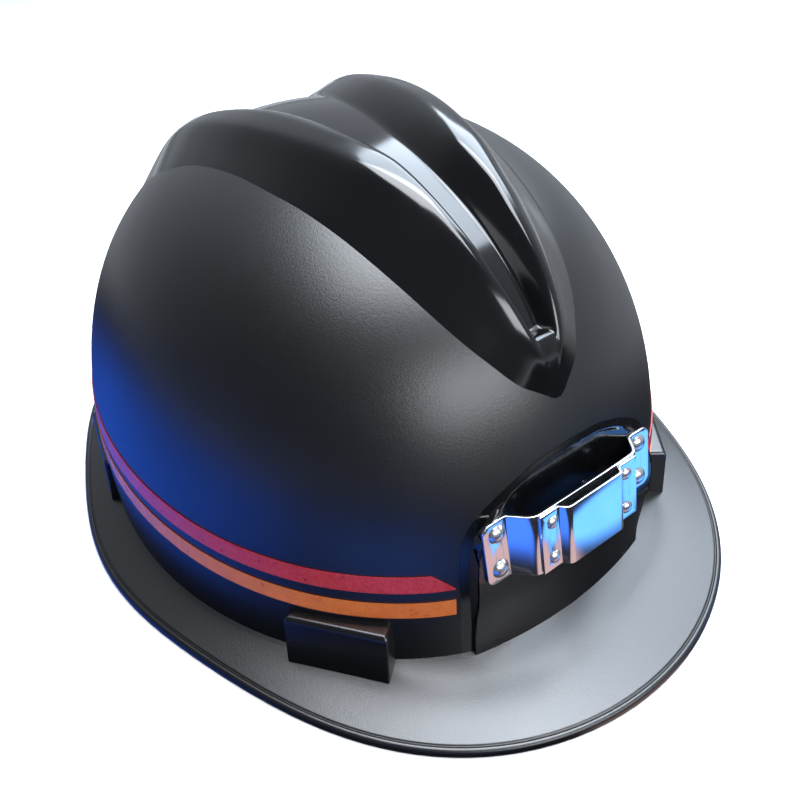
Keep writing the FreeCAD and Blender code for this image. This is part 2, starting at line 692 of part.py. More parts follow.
def tail(side, up):
    # upper tail (side +1) or lower tail (side -1)
    z0, z1 = (NAPE_Z + 5.75, NAPE_Z + 11.25) if up else (NAPE_Z - 11.25, NAPE_Z - 5.75)
    # the rack edge faces the pinion: gaps of one module are cut from it
    if up:
        rack = sector(TAIL_R0, TAIL_R1, -17, 44, z0 - 2.15, z1)
    else:
        rack = sector(TAIL_R0, TAIL_R1, -17, 44, z0, z1 + 2.15)
    wide = sector(TAIL_R0, TAIL_R1, 38, 88, 9.6, 26.4)
    wide = wide.cut(sector(TAIL_R0 - 1, TAIL_R1 + 1, 58.6, 85.0, 18.3, 23.1))
    pitch = math.degrees(math.pi / 79.0)
    base = z0 if up else z1
    d = -1 if up else 1
    gaps = []
    for k in range(-8, 19):
        # the lower rack sits half a pitch over, to mesh with nine teeth
        a = (k if up else k + 0.5) * pitch
        rad = math.radians(a)
        T = V(math.cos(rad), -math.sin(rad), 0)
        Rr = V(math.sin(rad), math.cos(rad), 0)
        c = V(0, HB_C, 0) + Rr * (TAIL_R0 - 1.5)
        hw0, hw1 = 0.42, 1.22
        pts = [c - T * hw0 + V(0, 0, base), c + T * hw0 + V(0, 0, base),
               c + T * hw1 + V(0, 0, base + d * 2.3), c - T * hw1 + V(0, 0, base + d * 2.3)]
        gaps.append(prism(pts, Rr * 4.2))
    s = rack.cut(gaps).fuse(wide).removeSplitter()
    if side < 0:
        s = mirror_x(s)
    return s


def gear(r_root, r_pitch, r_tip, n, y0, y1, phase):
    pts = []
    for k in range(n):
        for r, f in ((r_root, -0.32), (r_pitch, -0.235), (r_tip, -0.10), (r_tip, 0.10), (r_pitch, 0.235), (r_root, 0.32)):
            a = 2 * math.pi * (k + f) / n + phase
            pts.append(V(r * math.sin(a), y0, NAPE_Z + r * math.cos(a)))
    return prism(pts, V(0, y1 - y0, 0))


# ============================================================== build it
shell = shell_solid()
save("shell", shell)

TH0 = math.radians(21.6)
TH1 = math.radians(158.0)
for nm, sd in (("right", -1), ("left", 1)):
    save("stripe_red_" + nm, tape(sd, RED_Z0, TH0, TH1, True))
    save("stripe_amber_" + nm, tape(sd, AMBER_Z0, TH0, TH1, False))

save("lamp_strap", strap())
save("lamp_plate", plate())
GRIP = STRAP_T + 0.1 + WALL
save("strap_rivets", [rivet(sx * RIV_X, sv * RIV_DZ, STRAP_T + 0.1, 1.6, 3.1, 1.7, GRIP + 1.1, 2.4, 1.0)
                      for sx in (-1, 1) for sv in (-1, 1)])
save("rivet_washers", [pad_cyl(sx * RIV_X, sv * RIV_DZ, 4.0, 0.9, -WALL - 1.0).cut(pad_cyl(sx * RIV_X, sv * RIV_DZ, 1.7, 4, -WALL - 2.5))
                       for sx in (-1, 1) for sv in (-1, 1)])
save("plate_rivets", [rivet(sx * PLATE_RIV_X, sv * RIV_DZ, HAT_Y + 0.05 + PLATE_T, 1.15, 2.2, 1.2, PLATE_T + STRAP_T + 0.15, 1.9, 0.8)
                      for sx in (-1, 1) for sv in (-1, 1)])

# rear cable clip: bent sheet hook on the centre line of the rear wall
y_w = wall_pt(math.pi, CLIP_Z).y
cl = Part.makeBox(26, 1.0, 10, V(-13, y_w + 0.45, CLIP_Z - 5))
hook = prism([V(-4, y_w + 0.45, CLIP_Z - 5), V(-4, y_w + 1.45, CLIP_Z - 5), V(-4, y_w + 9.4, CLIP_Z - 11), V(-4, y_w + 9.4, CLIP_Z + 4),
              V(-4, y_w + 8.4, CLIP_Z + 4), V(-4, y_w + 8.4, CLIP_Z - 10.2), V(-4, y_w + 0.45, CLIP_Z - 4.2)], V(8, 0, 0))
cl = cl.fuse(hook)
for sx in (-1, 1):
    cl = cl.cut(Part.makeCylinder(1.7, 8, V(sx * CLIP_X, y_w - 2, CLIP_Z), V(0, 1, 0)))
save("cable_clip", cl.removeSplitter())
rv = []
ws = []
for sx in (-1, 1):
    sh = Part.makeCylinder(1.6, 6.6, V(sx * CLIP_X, y_w - 4.8, CLIP_Z), V(0, 1, 0))
    hd = Part.makeSphere(3.6, V(sx * CLIP_X, y_w - 0.55, CLIP_Z)).common(Part.makeCylinder(3.0, 4, V(sx * CLIP_X, y_w + 1.5, CLIP_Z), V(0, 1, 0)))
    tl = Part.makeCylinder(2.4, 1.0, V(sx * CLIP_X, y_w - 5.6, CLIP_Z), V(0, 1, 0))
    rv.append(sh.fuse([hd, tl]).removeSplitter())
    ws.append(Part.makeCylinder(4.0, 0.9, V(sx * CLIP_X, y_w - 4.5, CLIP_Z), V(0, 1, 0)).cut(Part.makeCylinder(1.7, 4, V(sx * CLIP_X, y_w - 6, CLIP_Z), V(0, 1, 0))))
save("clip_rivets", rv)
save("clip_washers", ws)

# keys, straps, studs
gf, gr = band_gap(BLOCK_F), band_gap(BLOCK_R)
kf, at_f, t_f, n_f = key_solid(BLOCK_F, gf - 0.1)
kr, at_r, t_r, n_r = key_solid(BLOCK_R, gr - 1.1)
save("key_front_left", kf)
save("key_front_right", mirror_x(kf))
save("key_rear_left", kr)
save("key_rear_right", mirror_x(kr))

hb = headband()
studs = []
# the front studs clamp key and band; the rear ones also pass through the long
# slots of the sliding tails
for at, n, g, gap, reach_in in ((at_f, n_f, gf, 0.1, 1.75), (at_r, n_r, gr, 1.1, 3.95)):
    p = V(at(g)[0], at(g)[1], 20.7)
    d = V(-n[0], -n[1], 0)
    hb = hb.cut(Part.makeCylinder(2.1, 10, p - d * 5, d))
    hb = hb.cut(mirror_x(Part.makeCylinder(2.1, 10, p - d * 5, d)))
    h0 = gap + 1.65
    s = Part.makeCylinder(2.0, h0 + 0.2 + reach_in + 0.2, p - d * (h0 + 0.2), d)
    s = s.fuse([Part.makeCylinder(3.6, 0.6, p + d * reach_in, d), Part.makeCylinder(3.0, 1.0, p - d * (h0 + 1.0), d)])
    s = s.removeSplitter()
    studs += [s, mirror_x(s)]
save("headband", hb)
save("headband_studs", studs)


def crown(lift):
    # one strap and the two loops sewn at its ends
    f, r = at_f(FACE_D + 1.7), at_r(FACE_D + 1.7)
    pts = webbing(f, (-r[0], r[1]), lift)
    s = strap_loft(pts, (-n_r[0], n_r[1]), n_f)
    return s.fuse([end_loop(at_f, t_f, n_f), mirror_x(end_loop(at_r, t_r, n_r))])


save("crown_strap_upper", crown(1.9))
save("crown_strap_lower", mirror_x(crown(0.0)))

# crown pad under the crossing of the straps, its back slightly domed
cp = Part.makeCylinder(27.0, 8.0, V(0, 0, CROWN_Z - 7.0))
cp = cp.common(Part.makeSphere(150.0, V(0, 0, CROWN_Z - 0.6 - 150.0)))
cp = cp.makeFillet(1.4, [e for e in cp.Edges if e.Length > 100])
save("crown_pad", cp)

# sweatband: a padded strip inside the front of the headband
sw = half_ellipse_band(HB_R - 3.1, HB_FRONT - 3.1, HB_R - 0.1, HB_FRONT - 0.1, 6.0, 38.0, 62)
for at, n, g in ((at_f, n_f, gf),):
    p = V(at(g)[0], at(g)[1], 20.7)
    d = V(-n[0], -n[1], 0)
    c = Part.makeCylinder(4.2, 6, p - d * 1.0, d)
    sw = sw.cut([c, mirror_x(c)])
save("sweatband", sw)

# loops that hold the sliding tails against the ends of the headband
def guide(side):
    o = sector(76.6, 82.6, 58, 64, 6.6, 29.4)
    i = sector(TAIL_R0 - 0.35, HB_R + HB_T + 0.05, 57, 65, 8.95, 27.05)
    g = o.cut(i)
    return g if side > 0 else mirror_x(g)


save("tail_guide_left", guide(1))
save("tail_guide_right", guide(-1))
save("rack_tail_left", tail(1, True))
save("rack_tail_right", tail(-1, False))

# nape ratchet
def stadium(r0, r1, p, z0, z1):
    return sector(r0, r1, -p, p, z0, z1)


BOSS_P = 14.0
house = stadium(77.45, 86.2, 21.0, 4.4, 31.6).cut(stadium(77.0, 84.2, 19.6, 6.0, 30.0))
house = house.cut([stadium(77.0, 79.9, 24.0, 6.3, 14.9), stadium(77.0, 79.9, 24.0, 21.1, 29.7)])
bosses = []
for sp in (-1, 1):
    a = math.radians(sp * BOSS_P)
    R = V(math.sin(a), math.cos(a), 0)
    c0 = V(0, HB_C, NAPE_Z) + R * 77.5
    bosses.append(Part.makeCylinder(2.4, 7.2, c0, R))
# lugs that hold the ends of the detent spring
for sx in (-1, 1):
    for z0, z1 in ((24.7, 26.55), (27.45, 29.2)):
        bosses.append(Part.makeBox(3.4, 4.6, z1 - z0, V(sx * 12.3 - 1.7, HB_C + 80.4, z0)))
house = house.fuse(bosses)
for sp in (-1, 1):
    a = math.radians(sp * BOSS_P)
    R = V(math.sin(a), math.cos(a), 0)
    house = house.cut(Part.makeCylinder(1.15, 6.0, V(0, HB_C, NAPE_Z) + R * 77.0, R))
house = house.cut(Part.makeCylinder(3.15, 8, V(0, HB_C + 82, NAPE_Z), V(0, 1, 0)))
save("nape_housing", house.removeSplitter())

cover = stadium(75.4, 77.4, 21.0, 4.4, 31.6)
screws = []
for sp in (-1, 1):
    a = math.radians(sp * BOSS_P)
    R = V(math.sin(a), math.cos(a), 0)
    c0 = V(0, HB_C, NAPE_Z) + R * 75.0
    cover = cover.cut([Part.makeCylinder(1.5, 4, c0, R), Part.makeCylinder(2.7, 1.4, c0, R)])
    sc = Part.makeCylinder(1.1, 6.2, c0 + R * 1.2, R).fuse(Part.makeCylinder(2.5, 0.9, c0 + R * 0.5, R))
    cross = Part.makeBox(3.0, 0.5, 0.6, V(-1.5, -0.1, -0.3))
    cross = cross.fuse(Part.makeBox(0.6, 0.5, 3.0, V(-0.3, -0.1, -1.5)))
    cross.rotate(V(0, 0, 0), V(0, 0, 1), -sp * BOSS_P)
    cross.translate(c0 + R * 0.5)
    screws.append(sc.cut(cross).removeSplitter())
axle = Part.makeCylinder(2.12, 4.0, V(0, HB_C + 75.0, NAPE_Z), V(0, 1, 0))
cover = cover.cut(axle)
save("nape_cover", cover.removeSplitter())
save("cover_screws", screws)

# pinion with its detent wheel, on the knob's square-cut shaft
pin = gear(3.35, 4.5, 5.4, 9, HB_C + 77.8, HB_C + 80.3, 0.0)
wheel = []
for k in range(18):
    for r, f in ((6.4, 0.0), (7.2, 0.5)):
        a = 2 * math.pi * (k + f) / 18
        wheel.append(V(r * math.sin(a), HB_C + 80.3, NAPE_Z + r * math.cos(a)))
pin = pin.fuse(prism(wheel, V(0, 2.2, 0)))
pin = pin.cut(Part.makeCylinder(2.05, 10, V(0, HB_C + 76, NAPE_Z), V(0, 1, 0)))
save("ratchet_pinion", pin.removeSplitter())

KNOB_Y = HB_C + 86.6
body = Part.makeCylinder(9.6, 8.6, V(0, KNOB_Y, NAPE_Z), V(0, 1, 0))
body = body.makeFillet(1.4, [e for e in body.Edges if len(e.Vertexes) == 1 and e.CenterOfMass.y > KNOB_Y + 8])
fl = []
for k in range(14):
    a = 2 * math.pi * k / 14
    fl.append(Part.makeCylinder(1.25, 12, V(10.1 * math.sin(a), KNOB_Y - 1, NAPE_Z + 10.1 * math.cos(a)), V(0, 1, 0)))
body = body.cut(fl)
shaft = Part.makeCylinder(3.0, KNOB_Y - (HB_C + 82.7), V(0, HB_C + 82.7, NAPE_Z), V(0, 1, 0))
shaft = shaft.fuse(Part.makeCylinder(2.0, 7.5, V(0, HB_C + 75.6, NAPE_Z), V(0, 1, 0)))
save("ratchet_knob", body.fuse(shaft).removeSplitter())

# leaf spring whose nose rides the detent wheel
pts = [(-13.0, 8.6), (-13.0, 9.4), (-3.0, 9.4), (0.0, 8.3), (3.0, 9.4), (13.0, 9.4), (13.0, 8.6), (3.2, 8.6), (0.0, 7.4), (-3.2, 8.6)]
leaf = prism([V(x, HB_C + 80.6, NAPE_Z + z) for x, z in pts], V(0, 1.6, 0))
save("detent_spring", leaf)

# soft pad on the nape cover
save("nape_pad", sector(71.6, 75.3, -23, 23, 4.0, 32.0))
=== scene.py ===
import math
import bpy
import bmesh
import numpy as np
from mathutils import Vector, Matrix


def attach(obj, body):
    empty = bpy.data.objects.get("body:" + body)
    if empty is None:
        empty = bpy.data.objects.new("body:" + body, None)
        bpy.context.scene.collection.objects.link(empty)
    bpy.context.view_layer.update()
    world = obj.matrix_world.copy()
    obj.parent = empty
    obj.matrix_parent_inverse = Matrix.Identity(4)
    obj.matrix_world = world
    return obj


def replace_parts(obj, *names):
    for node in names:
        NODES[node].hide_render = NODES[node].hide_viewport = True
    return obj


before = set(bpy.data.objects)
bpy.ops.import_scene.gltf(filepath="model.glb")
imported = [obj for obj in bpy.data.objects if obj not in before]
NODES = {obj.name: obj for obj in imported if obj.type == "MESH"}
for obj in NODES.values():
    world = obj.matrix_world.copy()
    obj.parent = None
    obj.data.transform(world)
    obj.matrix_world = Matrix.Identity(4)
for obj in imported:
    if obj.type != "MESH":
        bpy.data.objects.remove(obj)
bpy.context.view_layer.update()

MM = 0.001
SHIFT = 4.70

# dimensions of the moulded shell, in millimetres about the crown's centre
A_SIDE, B_FRONT, B_REAR = 105.6, 121.8, 126.7
Z_FOOT, H_DOME, M_DOME, N_DOME, WALL = 6.5, 134.0, 2.231, 2.445, 2.6
BRIM = [134.67, 3.50, 16.83, 0.93, 2.10, 0.27, -1.14]
BRIM_T, ROOT_H = 2.6, 4.6
PAD_Y, PAD_Z, PAD_TILT = 113.2, 51.05, 0.20
BLOCK_F = ((66.9, -105.1), (88.3, -77.7))
BLOCK_R = ((106.2, 29.2), (98.5, 63.0))
BLOCK_TOP = 26.0
HB_C, HB_R, HB_T, HB_FRONT = 15.0, 79.9, 1.2, 114.8
NAPE_Z, CROWN_Z = 18.0, 112.0
RY = [-103.5, -99, -93, -86, -78, -70, -60, -45, -30, -15, 0, 12, 22, 32, 40, 47, 58, 66, 74, 82, 90]
R_BASE = [3.0, 11.4, 17.0, 21.8, 25.6, 28.4, 31.2, 34.4, 37.2, 39.8, 41.5, 43.0, 44.3, 46.0, 47.8, 49.0, 50.0, 50.3, 50.3, 50.0, 49.0]
R_OUT = [1.0, 5.4, 8.3, 10.0, 11.3, 12.3, 14.2, 19.3, 23.2, 27.0, 30.0, 32.0, 33.2, 34.2, 35.0, 35.5, 37.0, 38.0, 39.0, 39.6, 40.0]
R_IN = [0.0, 3.2, 5.6, 7.2, 8.4, 9.4, 10.6, 11.8, 15.0, 18.0, 20.0, 22.0, 24.0, 26.0, 27.6, 28.8, 30.4, 31.4, 32.2, 32.8, 33.2]
R_MID = [0.0, 2.7, 4.7, 6.1, 7.1, 8.0, 9.0, 9.6, 10.8, 12.5, 14.4, 16.5, 19.0, 21.4, 23.2, 24.6, 26.6, 27.8, 28.6, 29.2, 29.6]
R_MIDH = [0.8, 0.8, 0.8, 0.8, 0.8, 0.8, 0.8, 0.78, 0.70, 0.64, 0.62, 0.62, 0.62, 0.6, 0.6, 0.6, 0.6, 0.6, 0.6, 0.6, 0.6]
R_TOP = [1.2, 7.3, 9.0, 9.6, 9.8, 10.0, 10.5, 10.5, 9.7, 9.0, 8.5, 8.2, 7.9, 7.7, 7.6, 7.4, 6.8, 5.8, 4.2, 2.2, 0.3]
R_FLOOR = [0.0, 0.8, 2.0, 2.6, 2.8, 2.9, 3.1, 3.4, 4.3, 5.8, 8.2, 10.2, 11.6, 13.0, 14.0, 15.0, 16.5, 17.5, 18.5, 19.5, 20.5]


# ------------------------------------------------------------ geometry maths
def smooth(f):
    f = np.clip(f, 0.0, 1.0)
    return f * f * (3 - 2 * f)


def pchip(x, xs, ys):
    xs, ys, x = np.asarray(xs, float), np.asarray(ys, float), np.asarray(x, float)
    h = np.diff(xs)
    d = np.diff(ys) / h
    m = np.zeros_like(ys)
    for i in range(1, len(xs) - 1):
        if d[i - 1] * d[i] > 0:
            w1, w2 = 2 * h[i] + h[i - 1], h[i] + 2 * h[i - 1]
            m[i] = (w1 + w2) / (w1 / d[i - 1] + w2 / d[i])
    m[0], m[-1] = d[0], d[-1]
    x = np.clip(x, xs[0], xs[-1])
    k = np.clip(np.searchsorted(xs, x) - 1, 0, len(xs) - 2)
    t = (x - xs[k]) / h[k]
    return ((1 + 2 * t) * (1 - t) ** 2 * ys[k] + t * (1 - t) ** 2 * h[k] * m[k]
            + t * t * (3 - 2 * t) * ys[k + 1] + t * t * (t - 1) * h[k] * m[k + 1])


def dome_z(x, y, off=0.0):
    b = np.where(y < 0, B_FRONT, B_REAR) - off
    u = np.minimum(np.hypot(x / (A_SIDE - off), y / b), 1.0)
    return Z_FOOT + (H_DOME - off) * (1 - u ** M_DOME) ** (1 / N_DOME)


def u_at(z, off=0.0):
    f = np.clip((z - Z_FOOT) / (H_DOME - off), 0, 1)
    return (1 - f ** N_DOME) ** (1 / M_DOME)


def base_r(th, off=0.0):
    s, c = np.sin(th), np.cos(th)
    return 1 / np.hypot(s / (A_SIDE - off), c / (np.where(c > 0, B_FRONT, B_REAR) - off))


def brim_r(th):
    return sum(k * np.cos(i * th) for i, k in enumerate(BRIM))


def pad_y(x, z):
    w = smooth((45.0 - z) / 40.0)
    return -(PAD_Y - PAD_TILT * (z - PAD_Z)) + w * (1.9 + 5.1 * (x / 38.0) ** 2)


def catmull(pts, n=8):
    pts = np.asarray(pts, float)
    p = np.vstack([2 * pts[0] - pts[1], pts, 2 * pts[-1] - pts[-2]])
    out = []
    for i in range(1, len(p) - 2):
        for k in range(n):
            t = k / n
            out.append(0.5 * ((2 * p[i]) + (-p[i - 1] + p[i + 1]) * t + (2 * p[i - 1] - 5 * p[i] + 4 * p[i + 1] - p[i + 2]) * t * t
                              + (-p[i - 1] + 3 * p[i] - 3 * p[i + 1] + p[i + 2]) * t ** 3))
    out.append(pts[-1])
    return np.array(out)


PAD_SIDE = [(39.5, 2.0), (39.5, 16.0), (39.5, 30.0), (39.3, 42.0), (38.2, 50.0), (35.8, 57.0), (31.0, 62.3), (24.5, 66.6), (18.0, 69.8), (10.0, 72.4), (0.0, 73.3)]
_half = catmull(PAD_SIDE, 6)
PAD_LINE = np.vstack([_half, _half[::-1][1:] * [-1, 1]])


def line_dist(px, pz, line):
    # distance of points to a polyline
    best = np.full(px.shape, 1e9)
    for (ax, az), (bx, bz) in zip(line[:-1], line[1:]):
        dx, dz = bx - ax, bz - az
        t = np.clip(((px - ax) * dx + (pz - az) * dz) / (dx * dx + dz * dz), 0, 1)
        best = np.minimum(best, np.hypot(px - ax - t * dx, pz - az - t * dz))
    return best


def pad_inside(x, z):
    top = np.interp(np.abs(x), _half[::-1, 0], _half[::-1, 1], right=-1)
    wide = np.interp(z, _half[:, 1], _half[:, 0], right=0.0)
    return (np.abs(x) < wide) & (z < 73.31)


def pad_sd(x, z):
    d = line_dist(x, z, PAD_LINE)
    return np.where(pad_inside(x, z), -d, d)


def outer_r(th, z):
    # distance from the axis of the moulded outside, pad included
    r = base_r(th) * u_at(z)
    X, Z = np.broadcast_arrays(th, z)
    r = np.broadcast_to(r, X.shape).copy()
    m = (np.abs(X) < math.radians(24)) & (Z < 78.5)
    t, zz = X[m], Z[m]
    rp = np.full(t.shape, 115.0)
    for _ in range(6):
        rp = -pad_y(rp * np.sin(t), zz) / np.cos(t)
    rd = r[m]
    xp = np.sin(t) * np.minimum(rp, rd * 1.0)
    sd = pad_sd(np.sin(t) * rp, zz)
    w = np.where(zz > 52, 1.5, 0.8)
    s = smooth((0.25 * w - sd) / w)
    r[m] = rd + (rp - rd) * s
    return r


RIB_Y = np.array(RY, float)


def rib_rows(y):
    tab = [pchip(y, RIB_Y, t) for t in (R_BASE, R_OUT, R_IN, R_TOP, R_FLOOR)]
    return tab


def bspline2(P, n=6):
    # uniform quadratic B-spline through the midpoints, clamped ends
    P = [P[0]] + list(P) + [P[-1]]
    P = np.array(P)
    out = [P[0]]
    for i in range(1, len(P) - 1):
        a, b, c = (P[i - 1] + P[i]) / 2, P[i], (P[i] + P[i + 1]) / 2
        for k in range(n):
            t = (k + 1) / n
            out.append((1 - t) ** 2 * a + 2 * t * (1 - t) * b + t * t * c)
    out.append(P[-1])
    return np.array(out)


def rib_height(xs, y):
    """Height of the ribs above the dome along xs >= 0 at one y (mm)."""
    h = np.full(xs.shape, -1.5)
    if RIB_Y[0] - 1.6 <= y <= 92:
        yy = max(y, RIB_Y[0])
        xb, xo, xi, xm, mf, ht, xf = [float(pchip(min(yy, 90.0), RIB_Y, t)) for t in (R_BASE, R_OUT, R_IN, R_MID, R_MIDH, R_TOP, R_FLOOR)]
        dx = min(2.2, 1.3 * (xb - xo) / max(1.0, ht))
        P = [(xb + dx, -1.3), (xb * 0.55 + xo * 0.45, ht * 0.40), (xo * 0.86 + xb * 0.14, ht * 0.88),
             (xo * 0.95 + xi * 0.05, ht * 1.01), ((xo + xi) / 2, ht * 1.02), (xi * 0.97 + xo * 0.03, ht * 0.99), (xm, ht * mf), (xf - 0.4, -1.3)]
        C = bspline2(P, 6)
        h = np.maximum(h, np.interp(xs, C[::-1, 0], C[::-1, 1], left=-1.3, right=-1.5))
        # the floor of the V rises to the tip
        lift = ht * 0.97 * float(smooth((-90.5 - y) / 8.5))
        fl = np.where(xs < xi, lift, -1.5)
        k = 1.2
        e = np.clip(0.5 + 0.5 * (fl - h) / k, 0, 1)
        hs = h * (1 - e) + fl * e + k * e * (1 - e)
        h = np.where(xs < xi, np.minimum(hs, ht * 1.01), h)
        if y < RIB_Y[0]:
            h = h - (RIB_Y[0] - y) * 2.0
    return h


HX = np.arange(0, 54.01, 0.3)
HY = np.concatenate([np.arange(-105.0, -84.0, 0.25), np.arange(-84.0, 92.1, 0.5)])
HGRID = np.array([rib_height(HX, y) for y in HY])


def rib_at(x, y):
    # bilinear lookup of the rib height field
    x, y = np.abs(np.asarray(x, float)), np.asarray(y, float)
    fx = np.clip(x / 0.3, 0, len(HX) - 1.001)
    iy = np.clip(np.searchsorted(HY, y) - 1, 0, len(HY) - 2)
    ty = np.clip((y - HY[iy]) / (HY[iy + 1] - HY[iy]), 0, 1)
    ix = fx.astype(int)
    tx = fx - ix
    v = (HGRID[iy, ix] * (1 - tx) + HGRID[iy, ix + 1] * tx) * (1 - ty) + (HGRID[iy + 1, ix] * (1 - tx) + HGRID[iy + 1, ix + 1] * tx) * ty
    return np.where((x > 53.9) | (y < -105) | (y > 91.9), -1.5, v)


# ---------------------------------------------------------------- mesh tools
def make_obj(name, V, F, mats, attr=None, smooth_all=True, sharp=None, face_mat=None):
    me = bpy.data.meshes.new(name)
    V = np.asarray(V, float).copy()
    V[:, 1] += SHIFT
    V *= MM
    me.vertices.add(len(V))
    me.vertices.foreach_set("co", V.astype(np.float32).ravel())
    F = [list(f) for f in F] if not isinstance(F, np.ndarray) else F
    if isinstance(F, np.ndarray):
        n, k = F.shape
        me.loops.add(n * k)
        me.loops.foreach_set("vertex_index", F.astype(np.int32).ravel())
        me.polygons.add(n)
        me.polygons.foreach_set("loop_start", np.arange(0, n * k, k, dtype=np.int32))
    else:
        me.from_pydata([tuple(v) for v in V], [], F) if False else None
        tot = sum(len(f) for f in F)
        me.loops.add(tot)
        me.loops.foreach_set("vertex_index", np.array([i for f in F for i in f], np.int32))
        me.polygons.add(len(F))
        st = np.cumsum([0] + [len(f) for f in F[:-1]]).astype(np.int32)
        me.polygons.foreach_set("loop_start", st)
    me.update(calc_edges=True)
    me.validate()
    if attr:
        for k2, vals in attr.items():
            a = me.attributes.new(k2, "FLOAT", "POINT")
            a.data.foreach_set("value", np.asarray(vals, np.float32))
    me.polygons.foreach_set("use_smooth", np.ones(len(me.polygons), bool))
    for m in (mats if isinstance(mats, (list, tuple)) else [mats]):
        me.materials.append(m)
    if face_mat is not None:
        me.polygons.foreach_set("material_index", np.asarray(face_mat, np.int32))
    if sharp is not None:
        me.set_sharp_from_angle(angle=math.radians(sharp))
    o = bpy.data.objects.new(name, me)
    bpy.context.scene.collection.objects.link(o)
    return o


def grid_faces(nr, nc, wrap, flip=False, base=0):
    i = np.arange(nr - 1)[:, None]
    j = np.arange(nc if wrap else nc - 1)[None, :]
    j2 = (j + 1) % nc
    a, b, c, d = i * nc + j, i * nc + j2, (i + 1) * nc + j2, (i + 1) * nc + j
    f = np.stack([a, b, c, d] if not flip else [a, d, c, b], -1).reshape(-1, 4) + base
    return f


class Pile:
    """Collects patches into one mesh."""

    def __init__(self):
        self.V, self.F, self.A, self.n = [], [], [], 0

    def add(self, V, F, gloss):
        V = np.asarray(V, float).reshape(-1, 3)
        self.V.append(V)
        self.F += [tuple(int(i) + self.n for i in f) for f in F]
        self.A.append(np.broadcast_to(np.asarray(gloss, float).ravel(), (len(V),)) if np.size(gloss) == 1 else np.asarray(gloss, float).ravel())
        self.n += len(V)


# ----------------------------------------------------------------- materials
def new_mat(name):
    m = bpy.data.materials.new(name)
    m.use_nodes = True
    nt = m.node_tree
    b = nt.nodes["Principled BSDF"]
    return m, nt, b


def node(nt, kind, **kw):
    n = nt.nodes.new(kind)
    for k, v in kw.items():
        if k in n.inputs:
            n.inputs[k].default_value = v
        else:
            setattr(n, k, v)
    return n


def coords(nt, scale):
    tc = nt.nodes.new("ShaderNodeTexCoord")
    mp = nt.nodes.new("ShaderNodeMapping")
    mp.inputs["Scale"].default_value = scale if isinstance(scale, (tuple, list)) else (scale,) * 3
    nt.links.new(tc.outputs["Object"], mp.inputs["Vector"])
    return mp.outputs["Vector"]


def noise(nt, vec, scale, detail=3.0, rough=0.5):
    n = node(nt, "ShaderNodeTexNoise")
    n.inputs["Scale"].default_value = scale
    n.inputs["Detail"].default_value = detail
    n.inputs["Roughness"].default_value = rough
    nt.links.new(vec, n.inputs["Vector"])
    return n.outputs["Fac"]


def ramp(nt, fac, stops):
    r = nt.nodes.new("ShaderNodeValToRGB")
    cr = r.color_ramp
    while len(cr.elements) > 1:
        cr.elements.remove(cr.elements[-1])
    cr.elements[0].position, cr.elements[0].color = stops[0][0], (*stops[0][1], 1)
    for p, c in stops[1:]:
        e = cr.elements.new(p)
        e.color = (*c, 1)
    nt.links.new(fac, r.inputs["Fac"])
    return r.outputs["Color"]


def maprange(nt, v, a, b, c, d):
    m = nt.nodes.new("ShaderNodeMapRange")
    m.inputs[1].default_value, m.inputs[2].default_value = a, b
    m.inputs[3].default_value, m.inputs[4].default_value = c, d
    nt.links.new(v, m.inputs[0])
    return m.outputs[0]


def math_n(nt, op, a, b=None, c=None):
    m = nt.nodes.new("ShaderNodeMath")
    m.operation = op
    for i, v in enumerate((a, b, c)):
        if v is None:
            continue
        if isinstance(v, (int, float)):
            m.inputs[i].default_value = v
        else:
            nt.links.new(v, m.inputs[i])
    return m.outputs[0]


def mix_rgb(nt, fac, a, b, mode="MIX"):
    m = nt.nodes.new("ShaderNodeMix")
    m.data_type = "RGBA"
    m.blend_type = mode
    for s, v in ((0, fac), (6, a), (7, b)):
        if isinstance(v, (int, float)):
            m.inputs[s].default_value = v
        elif isinstance(v, tuple):
            m.inputs[s].default_value = (*v, 1)
        else:
            nt.links.new(v, m.inputs[s])
    return m.outputs[2]


def mix_f(nt, fac, a, b):
    m = nt.nodes.new("ShaderNodeMix")
    m.data_type = "FLOAT"
    for s, v in ((0, fac), (2, a), (3, b)):
        if isinstance(v, (int, float)):
            m.inputs[s].default_value = v
        else:
            nt.links.new(v, m.inputs[s])
    return m.outputs[0]


def bump(nt, b, height, dist, strength=1.0, prev=None):
    n = nt.nodes.new("ShaderNodeBump")
    n.inputs["Strength"].default_value = strength
    n.inputs["Distance"].default_value = dist
    nt.links.new(height, n.inputs["Height"])
    if prev is not None:
        nt.links.new(prev, n.inputs["Normal"])
    if b is not None:
        nt.links.new(n.outputs["Normal"], b.inputs["Normal"])
    return n.outputs["Normal"]


